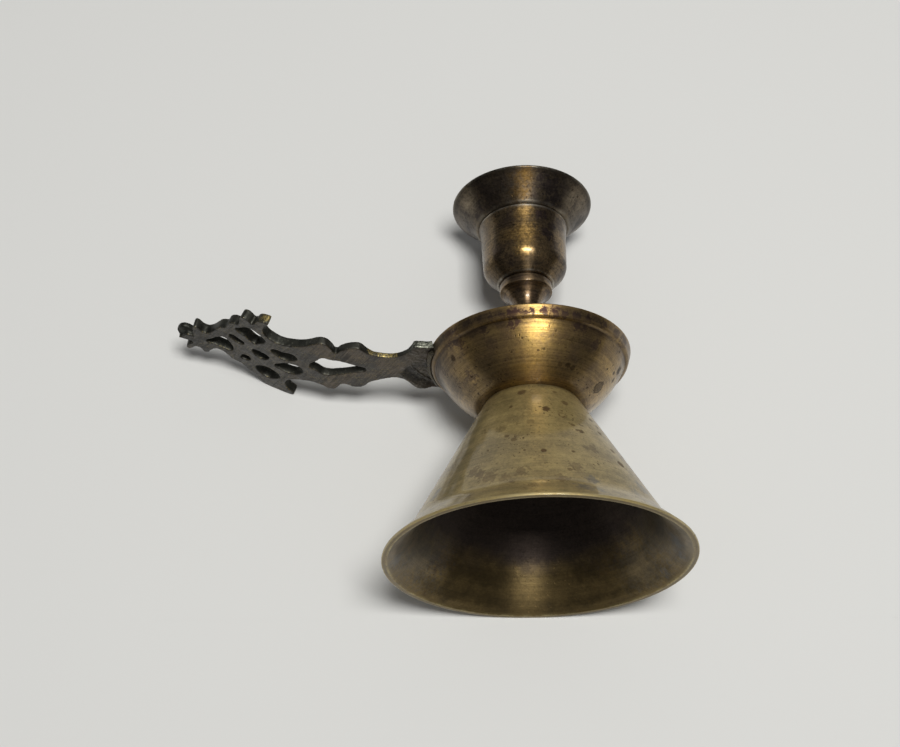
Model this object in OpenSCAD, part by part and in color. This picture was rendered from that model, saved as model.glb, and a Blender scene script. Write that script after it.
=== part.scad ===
// Hand candlestick of turned and cast brass, for one 22 mm candle.
// Z is the turning axis, and Z = 0 is the plane that the foot's rim stands on.
// The handle reaches out along -X. All sizes are in millimetres.

/* [Foot] */
// Outer radius of the foot's rim
foot_rim_r = 43.4; // [38:0.1:48]
// Height of the upright land on the rim
foot_land_h = 0.65; // [0.4:0.05:1.2]
// Radius of the foot at the crease between its flare and its cone
foot_crease_r = 36.5; // [34:0.1:37]
// Height of that crease
foot_crease_z = 7.1; // [6:0.1:9]
// Radius of the cone's top, under the pan
foot_top_r = 14.1; // [12:0.1:16]
// Height of the cone's top, where the pan sits
foot_top_z = 48.3; // [42:0.1:50]
// Wall thickness of the foot, square to its surface
foot_wall = 1.5; // [1.2:0.1:2]
// Thickness of the foot's closed top
foot_crown_t = 3; // [2:0.1:5]

/* [Drip pan] */
// Radius of the pan's flat bottom
pan_bottom_r = 16.8; // [16:0.1:19]
// Radius of the bowl where the pan's rim band starts
pan_band_r = 28.2; // [27:0.1:28.6]
// Height of that place above the pan's bottom
pan_band_h = 13.2; // [12:0.1:15]
// Outer radius of the pan's rim
pan_rim_r = 29.9; // [29.6:0.1:32]
// How far the rim stands out past the band's lower edge
pan_band_lean = 0.8; // [0.2:0.1:1]
// Height of the pan, from its bottom to its rim
pan_h = 16.9; // [16:0.1:20]
// Outward bulge of the bowl between the bottom and the band
pan_bulge = 1.1; // [0.1:0.05:1.5]
// Wall thickness of the pan
pan_wall = 1.5; // [1:0.1:2]
// Thickness of the pan's floor
pan_floor_t = 2.2; // [1.5:0.1:3]

/* [Stem] */
// Radius of the ring at the stem's base
stem_base_r = 9.2; // [8:0.1:12]
// Radius of the swelling in the stem's middle
stem_belly_r = 7.2; // [6:0.1:9]
// Radius of the stem's neck
stem_neck_r = 4; // [3.6:0.1:5]
// Radius of the collar under the candle cup
collar_r = 8; // [7.4:0.1:9]
// Height of the collar
collar_h = 2.8; // [2:0.1:4]
// Height of the stem, from the pan's floor to the top of its collar
stem_h = 39.9; // [38:0.1:50]

/* [Candle cup] */
// Outer radius of the cup's wall just above its rounded corner
cup_r = 12.85; // [12.8:0.05:14]
// Outer radius of the cup's mouth
cup_mouth_r = 13.7; // [13.4:0.1:15]
// Height of the cup
cup_h = 21.4; // [20:0.1:26]
// Radius of the rounded corner between the cup's cone and its wall
cup_corner_r = 4.5; // [3:0.1:6]
// Radius of the bore that takes the nozzle
cup_bore_r = 12.05; // [12:0.05:12.1]
// Thickness of the cup's bottom
cup_bottom_t = 5.6; // [5:0.1:7]

/* [Nozzle] */
// Radial clearance of the nozzle's sleeve in the cup
nozzle_fit = 0.1; // [0.05:0.01:0.1]
// Radius of the bore that takes the candle
candle_r = 11.1; // [10:0.05:11.3]
// Length of the sleeve below the cup's mouth
sleeve_len = 12.8; // [8:0.1:13]
// Radius of the flare where it leaves its seat
flare_seat_r = 14.6; // [14.2:0.1:16]
// Radius of the flare's rim
flare_rim_r = 21.8; // [19:0.1:25]
// Height of the flare above the cup's mouth
flare_h = 8.5; // [7:0.1:12]
// Thickness of the nozzle's sheet
nozzle_t = 0.9; // [0.8:0.05:1.2]

/* [Handle] */
// Thickness of the handle's plate along its neck
handle_t = 2.45; // [2:0.05:3.5]
// Thickness of the plate at its pierced head
head_t = 3.3; // [2:0.05:4]
// Height of the plate's underside where it meets the pan
handle_z = 63.75; // [63:0.05:64.5]
// Rise of the straight neck, in degrees
neck_rise = 3.5; // [0:0.5:8]
// Distance from the axis at which the plate starts to bend up
bend_d = 54.8; // [50:0.1:58]
// Radius of the upward bend
bend_up_r = 74.6; // [70:0.1:80]
// Steepest rise of the plate, in degrees
steep_rise = 25; // [20:0.5:30]
// Radius of the bend back towards level
bend_down_r = 84.4; // [80:0.1:95]

/* [Fixings] */
// Radius of the stud that ties the foot, the pan and the stem together
stud_r = 3; // [2.5:0.1:3.5]
// Radius of the small stud between the stem and the cup
cup_stud_r = 2; // [1.5:0.1:2.2]
// Width of the tie stud's nut across its flats
nut_flats = 10; // [8:0.1:11]
// Thickness of that nut
nut_t = 5; // [3:0.1:6]
// Radius of the washer over the nut
washer_r = 7.5; // [6.5:0.1:8]
// Thickness of the washer
washer_t = 1.2; // [0.8:0.1:2]
// Length of the tie stud below its nut
stud_below_nut = 2; // [1:0.5:4]
// Length of the tie stud inside the stem
stud_in_stem = 12.5; // [10:0.5:16]
// Length of the cup stud inside the stem
cup_stud_in_stem = 7.6; // [6:0.1:9]
// Chamfer on the ends of the studs
stud_chamfer = 0.5; // [0.2:0.1:0.8]

/* [Hidden] */
$fn = 96;

// Room between a stud and the hole it passes through or is screwed into
hole_room = 0.1;
thread_room = 0.05;
// How much deeper a blind hole is than its stud is long
blind_spare = 0.4;
// How far a cutting shape reaches past the surface it opens
past = 1;
// Small rounding on turned edges
edge_r = 0.4;

// The cone's slope, as the radius lost for each millimetre of height
foot_slope = (foot_crease_r - foot_top_r) / (foot_top_z - foot_crease_z);
foot_flare_slope = (foot_rim_r - foot_crease_r) / (foot_crease_z - foot_land_h);
// Wall thickness measured level, on the cone and on the flare
cone_level_t = foot_wall * sqrt(1 + foot_slope * foot_slope);
flare_level_t = foot_wall * sqrt(1 + foot_flare_slope * foot_flare_slope);
foot_crown_z = foot_top_z - foot_crown_t;

pan_floor_z = foot_top_z + pan_floor_t;
pan_band_z = foot_top_z + pan_band_h;
pan_rim_z = foot_top_z + pan_h;
// The step up from the bowl to the band's lower edge
band_step_h = 0.6;
band_low_r = pan_rim_r - pan_band_lean;
stem_top_z = pan_floor_z + stem_h;
cup_floor_z = stem_top_z + cup_bottom_t;
// Thickness left under the cup's floor where its stud ends
cup_floor_skin = 0.9;
mouth_z = stem_top_z + cup_h;
flare_top_z = mouth_z + flare_h;
sleeve_r = cup_bore_r - nozzle_fit;
nut_top_z = foot_crown_z - washer_t;
nut_z = nut_top_z - nut_t;

// Radius of the cone, and of its inner wall, at a height
function cone_r(z) = foot_crease_r - foot_slope * (z - foot_crease_z);
function cone_inner_r(z) = cone_r(z) - cone_level_t;
// Radius of the flare at a height
function flare_r(z) = foot_rim_r - foot_flare_slope * (z - foot_land_h);

// Points along an arc of a circle from angle a0 to angle a1
function arc(c, r, a0, a1, n) = [
  for (i = [0:n])
    let (a = a0 + (a1 - a0) * i / n)
    c + r * [cos(a), sin(a)]
];

// Points along the arc from p to q that swells by sag to the right of the way from p to q
function bow(p, q, sag, n) =
  let (
    way = q - p,
    chord = norm(way),
    rise = abs(sag),
    r = (chord * chord / 4 + rise * rise) / (2 * rise),
    along = way / chord,
    out = sign(sag) * [along[1], -along[0]],
    half = asin(chord / 2 / r),
    centre = (p + q) / 2 - (r - rise) * out
  )
  [for (i = [0:n]) let (a = half * (2 * i / n - 1)) centre + r * (sin(a) * along + cos(a) * out)];

// A turned piece: its half outline spun about the axis
module turned(outline) {
  rotate_extrude()
    polygon(outline);
}

// A turned pin with a chamfer at both ends
module pin(r, z0, z1, chamfer) {
  turned([
    [0, z0], [r - chamfer, z0], [r, z0 + chamfer],
    [r, z1 - chamfer], [r - chamfer, z1], [0, z1]
  ]);
}

module upright_hole(r, z0, z1) {
  translate([0, 0, z0])
    cylinder(r = r, h = z1 - z0);
}

// Bell foot: an upright land at the rim, a short wide flare, then a long straight cone
blend = 1.4;
foot_outer = concat(
  [[foot_rim_r, 0], [foot_rim_r, foot_land_h]],
  bow(
    [flare_r(foot_crease_z - blend), foot_crease_z - blend],
    [cone_r(foot_crease_z + blend), foot_crease_z + blend],
    -0.12, 6
  ),
  arc([foot_top_r - edge_r, foot_top_z - edge_r], edge_r, 30, 90, 4)
);
inner_crease_z = (flare_r(0) - flare_level_t - cone_inner_r(0)) / (foot_flare_slope - foot_slope);
crown_corner = 1.5;
rim_chamfer = 0.3;
foot_inner = [
  [0, foot_top_z],
  [0, foot_crown_z],
  [cone_inner_r(foot_crown_z) - crown_corner + 0.5, foot_crown_z],
  [cone_inner_r(foot_crown_z - crown_corner), foot_crown_z - crown_corner],
  [cone_inner_r(inner_crease_z), inner_crease_z],
  [flare_r(rim_chamfer) - flare_level_t, rim_chamfer],
  [flare_r(rim_chamfer) - flare_level_t + rim_chamfer, 0]
];

module foot() {
  color("darkkhaki")
    difference() {
      turned(concat(foot_outer, foot_inner));
      upright_hole(stud_r + hole_room, foot_crown_z - past, foot_top_z + past);
    }
}

// Drip pan: a flat bottom, a bowl that swells a little, and a rim band that leans outward
module drip_pan() {
  bowl_lean = 40;
  outer = concat(
    [[0, foot_top_z]],
    arc([pan_bottom_r - edge_r, foot_top_z + edge_r], edge_r, -90, -bowl_lean, 4),
    bow([pan_bottom_r + 0.3, foot_top_z + 0.6], [pan_band_r - 0.3, pan_band_z - 0.1], pan_bulge, 16),
    bow([pan_band_r, pan_band_z], [band_low_r, pan_band_z + band_step_h], 0.15, 4),
    arc([pan_rim_r - edge_r, pan_rim_z - edge_r], edge_r, 0, 90, 4)
  );
  inner = concat(
    arc([pan_rim_r - pan_wall + edge_r, pan_rim_z - edge_r], edge_r, 90, 180, 4),
    [[pan_band_r - pan_wall + 1, pan_band_z + 1.2]],
    bow(
      [pan_band_r - pan_wall - 0.6, pan_band_z - 0.5],
      [pan_bottom_r + 0.4, pan_floor_z + 1.2],
      -pan_bulge, 16
    ),
    bow([pan_bottom_r, pan_floor_z + 0.8], [pan_bottom_r - 2, pan_floor_z], -0.3, 5),
    [[0, pan_floor_z]]
  );
  color("goldenrod")
    difference() {
      turned(concat(outer, inner));
      upright_hole(stud_r + hole_room, foot_top_z - past, pan_floor_z + past);
    }
}

// Stem: base ring, hollow moulding, bead, a vase-shaped swelling, a slim neck and a collar
module stem() {
  base_top_z = pan_floor_z + 1.8;
  bead_z = pan_floor_z + 7;
  belly_z = pan_floor_z + 15.5;
  neck_z = pan_floor_z + 30;
  collar_z = stem_top_z - collar_h;
  outline = concat(
    [[0, pan_floor_z]],
    bow([stem_base_r, pan_floor_z], [stem_base_r, base_top_z], 0.6, 8),
    bow([stem_base_r - 1.2, base_top_z + 0.2], [4.8, bead_z - 1], -0.8, 8),
    bow([4.9, bead_z - 0.9], [4.9, bead_z + 0.9], 1, 8),
    bow([4.5, bead_z + 1.1], [stem_belly_r, belly_z], 0.9, 10),
    bow([stem_belly_r, belly_z], [stem_belly_r - 0.9, belly_z + 5], 0.35, 6),
    bow([stem_belly_r - 1, belly_z + 5.3], [stem_neck_r, neck_z], -0.35, 8),
    bow([stem_neck_r, neck_z + 0.4], [collar_r - 1.1, collar_z - 0.4], -0.9, 10),
    arc([collar_r - edge_r, collar_z + edge_r], edge_r, -90, 0, 4),
    arc([collar_r - edge_r, stem_top_z - edge_r], edge_r, 0, 90, 4),
    [[0, stem_top_z]]
  );
  color("darkgoldenrod")
    difference() {
      turned(outline);
      upright_hole(stud_r + thread_room, pan_floor_z - past, pan_floor_z + stud_in_stem + blind_spare);
      upright_hole(cup_stud_r + thread_room, stem_top_z - cup_stud_in_stem - blind_spare, stem_top_z + past);
    }
}

// Candle cup: a cone, a rounded corner and a nearly upright wall that opens a little at the mouth
module candle_cup() {
  cone_lean = 42;
  corner_z = stem_top_z + 6.9;
  floor_corner_r = 2.5;
  outline = concat(
    [[0, stem_top_z], [collar_r - 0.7, stem_top_z], [collar_r + 0.4, stem_top_z + 0.35]],
    arc([cup_r - cup_corner_r, corner_z], cup_corner_r, -cone_lean, 0, 8),
    bow([cup_r + 0.25, stem_top_z + 15], [cup_mouth_r, mouth_z - 0.2], -0.1, 5),
    [[cup_mouth_r - 0.2, mouth_z], [cup_bore_r, mouth_z]],
    arc([cup_bore_r - floor_corner_r, cup_floor_z + floor_corner_r], floor_corner_r, 0, -90, 6),
    [[0, cup_floor_z]]
  );
  color("saddlebrown")
    difference() {
      turned(outline);
      upright_hole(cup_stud_r + thread_room, stem_top_z - past, cup_floor_z - cup_floor_skin);
    }
}

// Nozzle: a loose sleeve with a flared dish that rests on the cup's mouth and lifts out
module nozzle() {
  // The sheet's thickness measured level, on the leaning flare
  level_t = nozzle_t * 1.35;
  inner_z = mouth_z + nozzle_t;
  mouth_corner_r = 0.7;
  outline = concat(
    [[candle_r, mouth_z - sleeve_len], [sleeve_r, mouth_z - sleeve_len], [sleeve_r, mouth_z]],
    [[flare_seat_r - 0.2, mouth_z]],
    bow([flare_seat_r, mouth_z + 0.2], [flare_rim_r, flare_top_z - 0.3], -0.25, 10),
    bow([flare_rim_r, flare_top_z - 0.3], [flare_rim_r - 0.9, flare_top_z - 0.1], 0.25, 6),
    bow([flare_rim_r - level_t, flare_top_z - 0.5], [flare_seat_r - level_t + 0.6, inner_z + 0.5], 0.25, 10),
    [[flare_seat_r - level_t - 0.2, inner_z]],
    arc([candle_r + mouth_corner_r, inner_z - mouth_corner_r], mouth_corner_r, 90, 180, 5)
  );
  color("dimgray")
    turned(outline);
}

// Underside of the handle's plate, seen from the side: a straight neck, then two bends
root_d = 29;
hidden_d = 24;
bend_z = handle_z + (bend_d - root_d) * tan(neck_rise);
up_centre = [bend_d - bend_up_r * sin(neck_rise), bend_z + bend_up_r * cos(neck_rise)];
steep_d = up_centre[0] + bend_up_r * sin(steep_rise);
steep_z = up_centre[1] - bend_up_r * cos(steep_rise);
down_centre = [steep_d + bend_down_r * sin(steep_rise), steep_z - bend_down_r * cos(steep_rise)];
tip_rise = 5;

// A line of the plate at a share of its thickness above its underside; it thickens along the upward bend
function plate_line(share) = concat(
  [[hidden_d, handle_z - (root_d - hidden_d) * tan(neck_rise) + share * handle_t / cos(neck_rise)]],
  [
    for (i = [0:14])
      let (
        k = i / 14,
        a = neck_rise - 90 + (steep_rise - neck_rise) * k,
        t = handle_t + (head_t - handle_t) * k
      )
      up_centre + (bend_up_r - share * t) * [cos(a), sin(a)]
  ],
  arc(down_centre, bend_down_r + share * head_t, steep_rise + 90, tip_rise + 90, 14)
);
function reversed(list) = [for (i = [len(list) - 1:-1:0]) list[i]];
function mirrored(list) = [for (p = list) [p[0], -p[1]]];
// A closed outline from the points on one side of the handle's middle line
function both_sides(list) = concat(list, reversed(mirrored(list)));

// Half outline of the handle, from the pan outwards: distance from the axis, distance from the middle line
HANDLE_EDGE = [
  // tab on the pan's rim
  [26, 10.8], [30.5, 12], [32.7, 12.8], [34.3, 10.8], [36.2, 8.1], [38, 6.8],
  // neck and first pair of lobes
  [40.5, 6], [42.5, 6.1], [44.5, 6.7], [46.8, 7.8], [49, 9.6], [50.6, 11.2], [53.6, 11.3], [55.4, 10.1],
  // second pair of lobes
  [57, 9.3], [58.2, 11.5], [59.7, 13.3], [61.2, 13.6], [62.8, 12.9], [65.2, 11.2],
  // hollow and horn
  [68, 10.4], [71, 10.2], [73.5, 10.7], [75.5, 12], [76.8, 14], [77, 16.5], [75.2, 21.5], [78, 20.9],
  // cusps of the head
  [80.5, 19.2], [82.4, 19.4], [83.8, 17], [85.2, 14.8], [88.3, 13.1], [89.8, 10.5], [91.6, 9.6],
  // waist and finial
  [93.4, 7], [95, 4.6], [96.6, 4.1], [98.4, 5.6], [100.2, 7.2], [101.4, 4.7], [102.6, 4], [104, 4.7],
  [105.6, 5.2], [105, 2.8], [107.2, 1.2]
];
// Pierced openings that cross the middle line
CENTRE_HOLES = [
  [[48.9, 0], [54, 2.8], [57.2, 3.8], [61.7, 4.9], [64, 3], [66.3, 0]],
  [[78.7, 0], [80.6, 2.2], [83.1, 2.1], [83.9, 0]],
  [[90.4, 0], [91, 3.2], [92.8, 3.6], [95.5, 1.8], [98.4, 0]]
];
// Pierced openings that come in pairs
SIDE_HOLES = [
  [[69.1, 4], [70, 1.6], [73.5, 0.9], [75.7, 2.2], [77.5, 4.5], [75.8, 6], [73.6, 6.3], [71, 6.2]],
  [
    [85.8, 11], [84.7, 13], [82, 14.7], [79.8, 13.8], [77.9, 11.2],
    [78.4, 9], [80.3, 7.2], [82, 6.5], [83.6, 7.8]
  ],
  [[85.6, 4], [87, 2.9], [89.1, 4.8], [89.8, 6.8], [88.2, 7.4], [86.7, 6]]
];

module handle_plan() {
  difference() {
    polygon(both_sides(HANDLE_EDGE));
    for (hole = CENTRE_HOLES)
      polygon(both_sides(hole));
    for (hole = SIDE_HOLES) {
      polygon(hole);
      polygon(mirrored(hole));
    }
  }
}

// The pan's rim band as a solid cone, to shape what is brazed against it
band_slope = pan_band_lean / (pan_h - pan_band_h - band_step_h - edge_r);
function band_r(z) = band_low_r + band_slope * (z - pan_band_z - band_step_h);
module band_solid(z0, z1) {
  translate([0, 0, z0])
    cylinder(r1 = band_r(z0), r2 = band_r(z1), h = z1 - z0);
}

// Handle: one flat casting, pierced and bent up, with a tab whose end hugs the pan's rim
module handle() {
  reach = 120;
  half_width = 25;
  reach_past = 6;
  color("darkslategray")
    difference() {
      rotate([0, 0, 180])
        intersection() {
          linear_extrude(reach)
            handle_plan();
          translate([0, half_width, 0])
            rotate([90, 0, 0])
              linear_extrude(2 * half_width)
                polygon(concat(plate_line(0), reversed(plate_line(1))));
        }
      band_solid(handle_z - reach_past, handle_z + reach_past);
    }
}

// Braze: the bead of hard solder under the tab, against the pan's rim band
module handle_braze() {
  low_z = handle_z - 1.5;
  top_z = handle_z - 0.05;
  bead_w = 1.5;
  bead_angle = 42;
  color("peru")
    rotate([0, 0, 180 - bead_angle / 2])
      rotate_extrude(angle = bead_angle)
        polygon([
          [band_r(low_z), low_z],
          [band_r(low_z) + bead_w / 2, low_z + bead_w / 2],
          [band_r(low_z) + bead_w, top_z],
          [band_r(handle_z), top_z]
        ]);
}

// Tie stud: screwed into the stem, down through the pan and the foot
module tie_stud() {
  color("gray")
    pin(stud_r, nut_z - stud_below_nut, pan_floor_z + stud_in_stem, stud_chamfer);
}

module stud_washer() {
  chamfer = 0.2;
  color("silver")
    translate([0, 0, nut_top_z])
      difference() {
        pin(washer_r, 0, washer_t, chamfer);
        upright_hole(stud_r + hole_room, -past, washer_t + past);
      }
}

// Nut: a hexagon with its corners turned off, on the stud
module stud_nut() {
  corner_r = nut_flats / 2 / cos(30);
  chamfer = 0.6;
  color("lightgray")
    translate([0, 0, nut_z])
      difference() {
        intersection() {
          cylinder(r = corner_r, h = nut_t, $fn = 6);
          pin(corner_r + 0.05, 0, nut_t, chamfer);
        }
        upright_hole(stud_r + thread_room, -past, nut_t + past);
      }
}

// Cup stud: a short length of screwed rod between the stem's collar and the cup's bottom
module cup_stud() {
  stud_end_z = cup_floor_z - cup_floor_skin - blind_spare;
  color("gray")
    pin(cup_stud_r, stem_top_z - cup_stud_in_stem, stud_end_z, stud_chamfer);
}

foot();
drip_pan();
stem();
candle_cup();
nozzle();
handle();
handle_braze();
tie_stud();
stud_washer();
stud_nut();
cup_stud();
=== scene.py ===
import math

import bmesh
import bpy
import numpy as np
from mathutils import Matrix, Vector, noise


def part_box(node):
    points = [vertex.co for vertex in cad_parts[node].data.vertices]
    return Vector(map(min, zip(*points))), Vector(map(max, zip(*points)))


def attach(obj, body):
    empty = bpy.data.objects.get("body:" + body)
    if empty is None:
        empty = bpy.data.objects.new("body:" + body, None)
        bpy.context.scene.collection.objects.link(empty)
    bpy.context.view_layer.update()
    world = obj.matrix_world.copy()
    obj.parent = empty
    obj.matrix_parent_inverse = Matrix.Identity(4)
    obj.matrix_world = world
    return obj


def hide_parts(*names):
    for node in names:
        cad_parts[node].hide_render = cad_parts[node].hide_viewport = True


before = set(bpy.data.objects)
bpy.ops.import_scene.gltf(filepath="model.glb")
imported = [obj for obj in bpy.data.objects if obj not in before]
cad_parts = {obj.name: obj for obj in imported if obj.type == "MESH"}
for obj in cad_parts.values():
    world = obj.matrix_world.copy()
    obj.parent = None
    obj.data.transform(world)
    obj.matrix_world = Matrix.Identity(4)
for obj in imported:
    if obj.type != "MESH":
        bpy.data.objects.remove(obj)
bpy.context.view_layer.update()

# Outlines are in millimetres, as pairs of radius and height; everything is scaled to metres when it becomes a mesh.
MM = 0.001

# Heights and radii that the frame gives
RIM_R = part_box("foot")[1].x / MM
FOOT_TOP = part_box("foot")[1].z / MM
PAN_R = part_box("drip_pan")[1].x / MM
PAN_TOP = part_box("drip_pan")[1].z / MM
PAN_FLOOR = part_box("stem")[0].z / MM
STEM_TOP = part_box("stem")[1].z / MM
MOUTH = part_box("candle_cup")[1].z / MM
FLARE_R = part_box("nozzle")[1].x / MM
FLARE_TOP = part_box("nozzle")[1].z / MM
SLEEVE_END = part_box("nozzle")[0].z / MM
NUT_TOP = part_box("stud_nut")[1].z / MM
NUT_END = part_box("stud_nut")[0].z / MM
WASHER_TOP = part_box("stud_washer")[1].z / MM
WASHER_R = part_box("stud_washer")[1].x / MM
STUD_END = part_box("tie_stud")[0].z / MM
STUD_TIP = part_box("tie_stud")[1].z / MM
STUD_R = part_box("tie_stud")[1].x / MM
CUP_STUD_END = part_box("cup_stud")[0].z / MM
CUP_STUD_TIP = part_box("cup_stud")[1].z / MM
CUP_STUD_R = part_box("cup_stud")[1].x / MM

# Camera, fitted to the photograph's circles: place in millimetres and its own axes in the frame
CAMERA_AT = Vector((6.77, -362.39, -149.20))
VIEW_RIGHT = Vector((0.99555, 0.09290, -0.01568))
VIEW_UP = Vector((0.06007, -0.49770, 0.86527))
VIEW_FORWARD = Vector((-0.07258, 0.86236, 0.50107))
LENS = 56.64

# The candlestick lies on a table in the photograph: the table's plane, which touches the rims' far side
TABLE_UP = Vector((0.1233, -0.9765, -0.1767)).normalized()
TABLE_TOP = (VIEW_UP - VIEW_UP.dot(TABLE_UP) * TABLE_UP).normalized()
TABLE_RIGHT = TABLE_TOP.cross(TABLE_UP)
TABLE_DEPTH = 42.75
MIDDLE = Vector((0, 0, 60))


# Outlines

def arc(centre, r, a0, a1, n):
    """Points along an arc of a circle, with the angles in degrees."""
    angles = [math.radians(a0 + (a1 - a0) * i / n) for i in range(n + 1)]
    return [(centre[0] + r * math.cos(a), centre[1] + r * math.sin(a)) for a in angles]


def bow(p, q, sag, n):
    """Points along the arc from p to q that swells by sag to the right of the way from p to q."""
    p, q = Vector(p), Vector(q)
    way = q - p
    rise = abs(sag)
    r = (way.length_squared / 4 + rise * rise) / (2 * rise)
    along = way.normalized()
    out = math.copysign(1, sag) * Vector((along.y, -along.x))
    half = math.asin(way.length / 2 / r)
    centre = (p + q) / 2 - (r - rise) * out
    turns = [half * (2 * i / n - 1) for i in range(n + 1)]
    return [tuple(centre + r * (math.sin(a) * along + math.cos(a) * out)) for a in turns]


def corners(outline, ring):
    """For each point the turn of the outline there in degrees, positive on a convex corner."""
    pts = np.array(outline)
    before = pts - np.roll(pts, 1, axis=0)
    after = np.roll(pts, -1, axis=0) - pts
    cross = before[:, 0] * after[:, 1] - before[:, 1] * after[:, 0]
    turn = np.degrees(np.arctan2(cross, (before * after).sum(axis=1)))
    if not ring:
        turn[0] = turn[-1] = 0
    return turn


def soften(outline, radius, ring):
    """Rounds each corner of an outline with a small fillet."""
    turn = corners(outline, ring)
    result = []
    for i, (x, y) in enumerate(outline):
        if abs(turn[i]) < 12:
            result.append((x, y))
            continue
        here = Vector((x, y))
        before = Vector(outline[i - 1]) - here
        after = Vector(outline[(i + 1) % len(outline)]) - here
        half = math.radians(180 - abs(turn[i])) / 2
        cut = min(radius / math.tan(half), 0.45 * before.length, 0.45 * after.length)
        start = here + before.normalized() * cut
        end = here + after.normalized() * cut
        steps = 4 if abs(turn[i]) > 30 else 2
        for k in range(steps + 1):
            t = k / steps
            result.append(tuple(start * (1 - t) ** 2 + here * 2 * t * (1 - t) + end * t * t))
    return result


def resample(outline, step, ring):
    """Adds points so that no stretch of the outline is longer than step."""
    result = []
    count = len(outline) if ring else len(outline) - 1
    for i in range(count):
        p, q = Vector(outline[i]), Vector(outline[(i + 1) % len(outline)])
        parts = max(1, math.ceil((q - p).length / step))
        result += [tuple(p.lerp(q, k / parts)) for k in range(parts)]
    if not ring:
        result.append(outline[-1])
    return result


# Meshes

def mesh_object(name, verts, faces, attributes=None):
    """A smooth-shaded mesh object, its vertices given in millimetres."""
    mesh = bpy.data.meshes.new(name)
    mesh.from_pydata((np.asarray(verts) * MM).tolist(), [], faces)
    for key, values in (attributes or {}).items():
        mesh.attributes.new(key, "FLOAT", "POINT").data.foreach_set("value", np.asarray(values, np.float32))
    graph = bmesh.new()
    graph.from_mesh(mesh)
    bmesh.ops.recalc_face_normals(graph, faces=graph.faces)
    graph.to_mesh(mesh)
    graph.free()
    mesh.shade_smooth()
    piece = bpy.data.objects.new(name, mesh)
    bpy.context.scene.collection.objects.link(piece)
    return piece


def near(points, places, width):
    """For each point a weight that is the places' own at them and falls to 0 over width."""
    weight = np.zeros(len(points))
    for x, y, strength in places:
        distance = np.hypot(points[:, 0] - x, points[:, 1] - y)
        weight = np.maximum(weight, strength * np.exp(-(distance / width) ** 2))
    return weight


def lathe(name, outline, creases=(), fillet=0.25, step=1.0, segments=256, shape=None, zone=None):
    """Spins an outline about the axis. One that starts and ends on the axis closes there; any other is a ring.

    Each vertex carries wear, high on exposed corners, and a weight of soil and painted shade, high in hollow
    corners and at the creases where other pieces meet this one. shape(angle, r, z) may change the radii and
    heights of the finished grid.
    zone(r, z) says how deep in the piece's inside a point is, from 0 to 1.
    """
    ring = outline[0][0] > 0
    area = sum(a[0] * b[1] - b[0] * a[1] for a, b in zip(outline, outline[1:] + outline[:1]))
    if area < 0:
        outline = outline[::-1]
    turn = corners(outline, ring)
    edges = [(x, y, min(1, t / 50)) for (x, y), t in zip(outline, turn) if t > 14]
    hollows = [(x, y, min(1, -t / 50)) for (x, y), t in zip(outline, turn) if t < -14]
    hollows += [(x, y, 1) for x, y in creases]
    rows = resample(soften(outline, fillet, ring), step, ring)
    points = np.array(rows)
    wear = near(points, edges, 0.4)
    # Soil and painted shade: a weight that is high near hollow corners and creases
    grime_and_shade = near(points, hollows, 1.4)
    body = points if ring else points[1:-1]
    angle = np.linspace(0, 2 * math.pi, segments, endpoint=False)
    r = np.repeat(body[:, :1], segments, axis=1)
    z = np.repeat(body[:, 1:], segments, axis=1)
    if shape:
        r, z = shape(np.broadcast_to(angle, r.shape), r, z)
    verts = np.stack([r * np.cos(angle), r * np.sin(angle), z], axis=2).reshape(-1, 3)
    marks = {}
    deep = zone(points[:, 0], points[:, 1]) if zone else np.zeros(len(points))
    for key, values in (("wear", wear), ("grime_and_shade", grime_and_shade), ("deep", deep)):
        marks[key] = np.repeat(values if ring else values[1:-1], segments)
    count = len(body)
    faces = []
    for i in range(count if ring else count - 1):
        a, b = i * segments, (i + 1) % count * segments
        for k in range(segments):
            n = (k + 1) % segments
            faces.append((a + k, a + n, b + n, b + k))
    if not ring:
        for row, end in ((0, points[0]), (count - 1, points[-1])):
            pole = len(verts)
            verts = np.vstack([verts, (0, 0, end[1])])
            faces += [(row * segments + k, row * segments + (k + 1) % segments, pole) for k in range(segments)]
            marks = {key: np.append(values, 0) for key, values in marks.items()}
    return mesh_object(name, verts, faces, marks)


def groove(depth, width, places):
    """A shape function: shallow turned grooves all round, at (r, z) places on the surface."""
    def cut(angle, r, z):
        for place_r, place_z in places:
            away = np.hypot(r - place_r, z - place_z)
            r = r - depth * np.exp(-(away / width) ** 2)
        return r, z
    return cut


# Shaders

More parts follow.
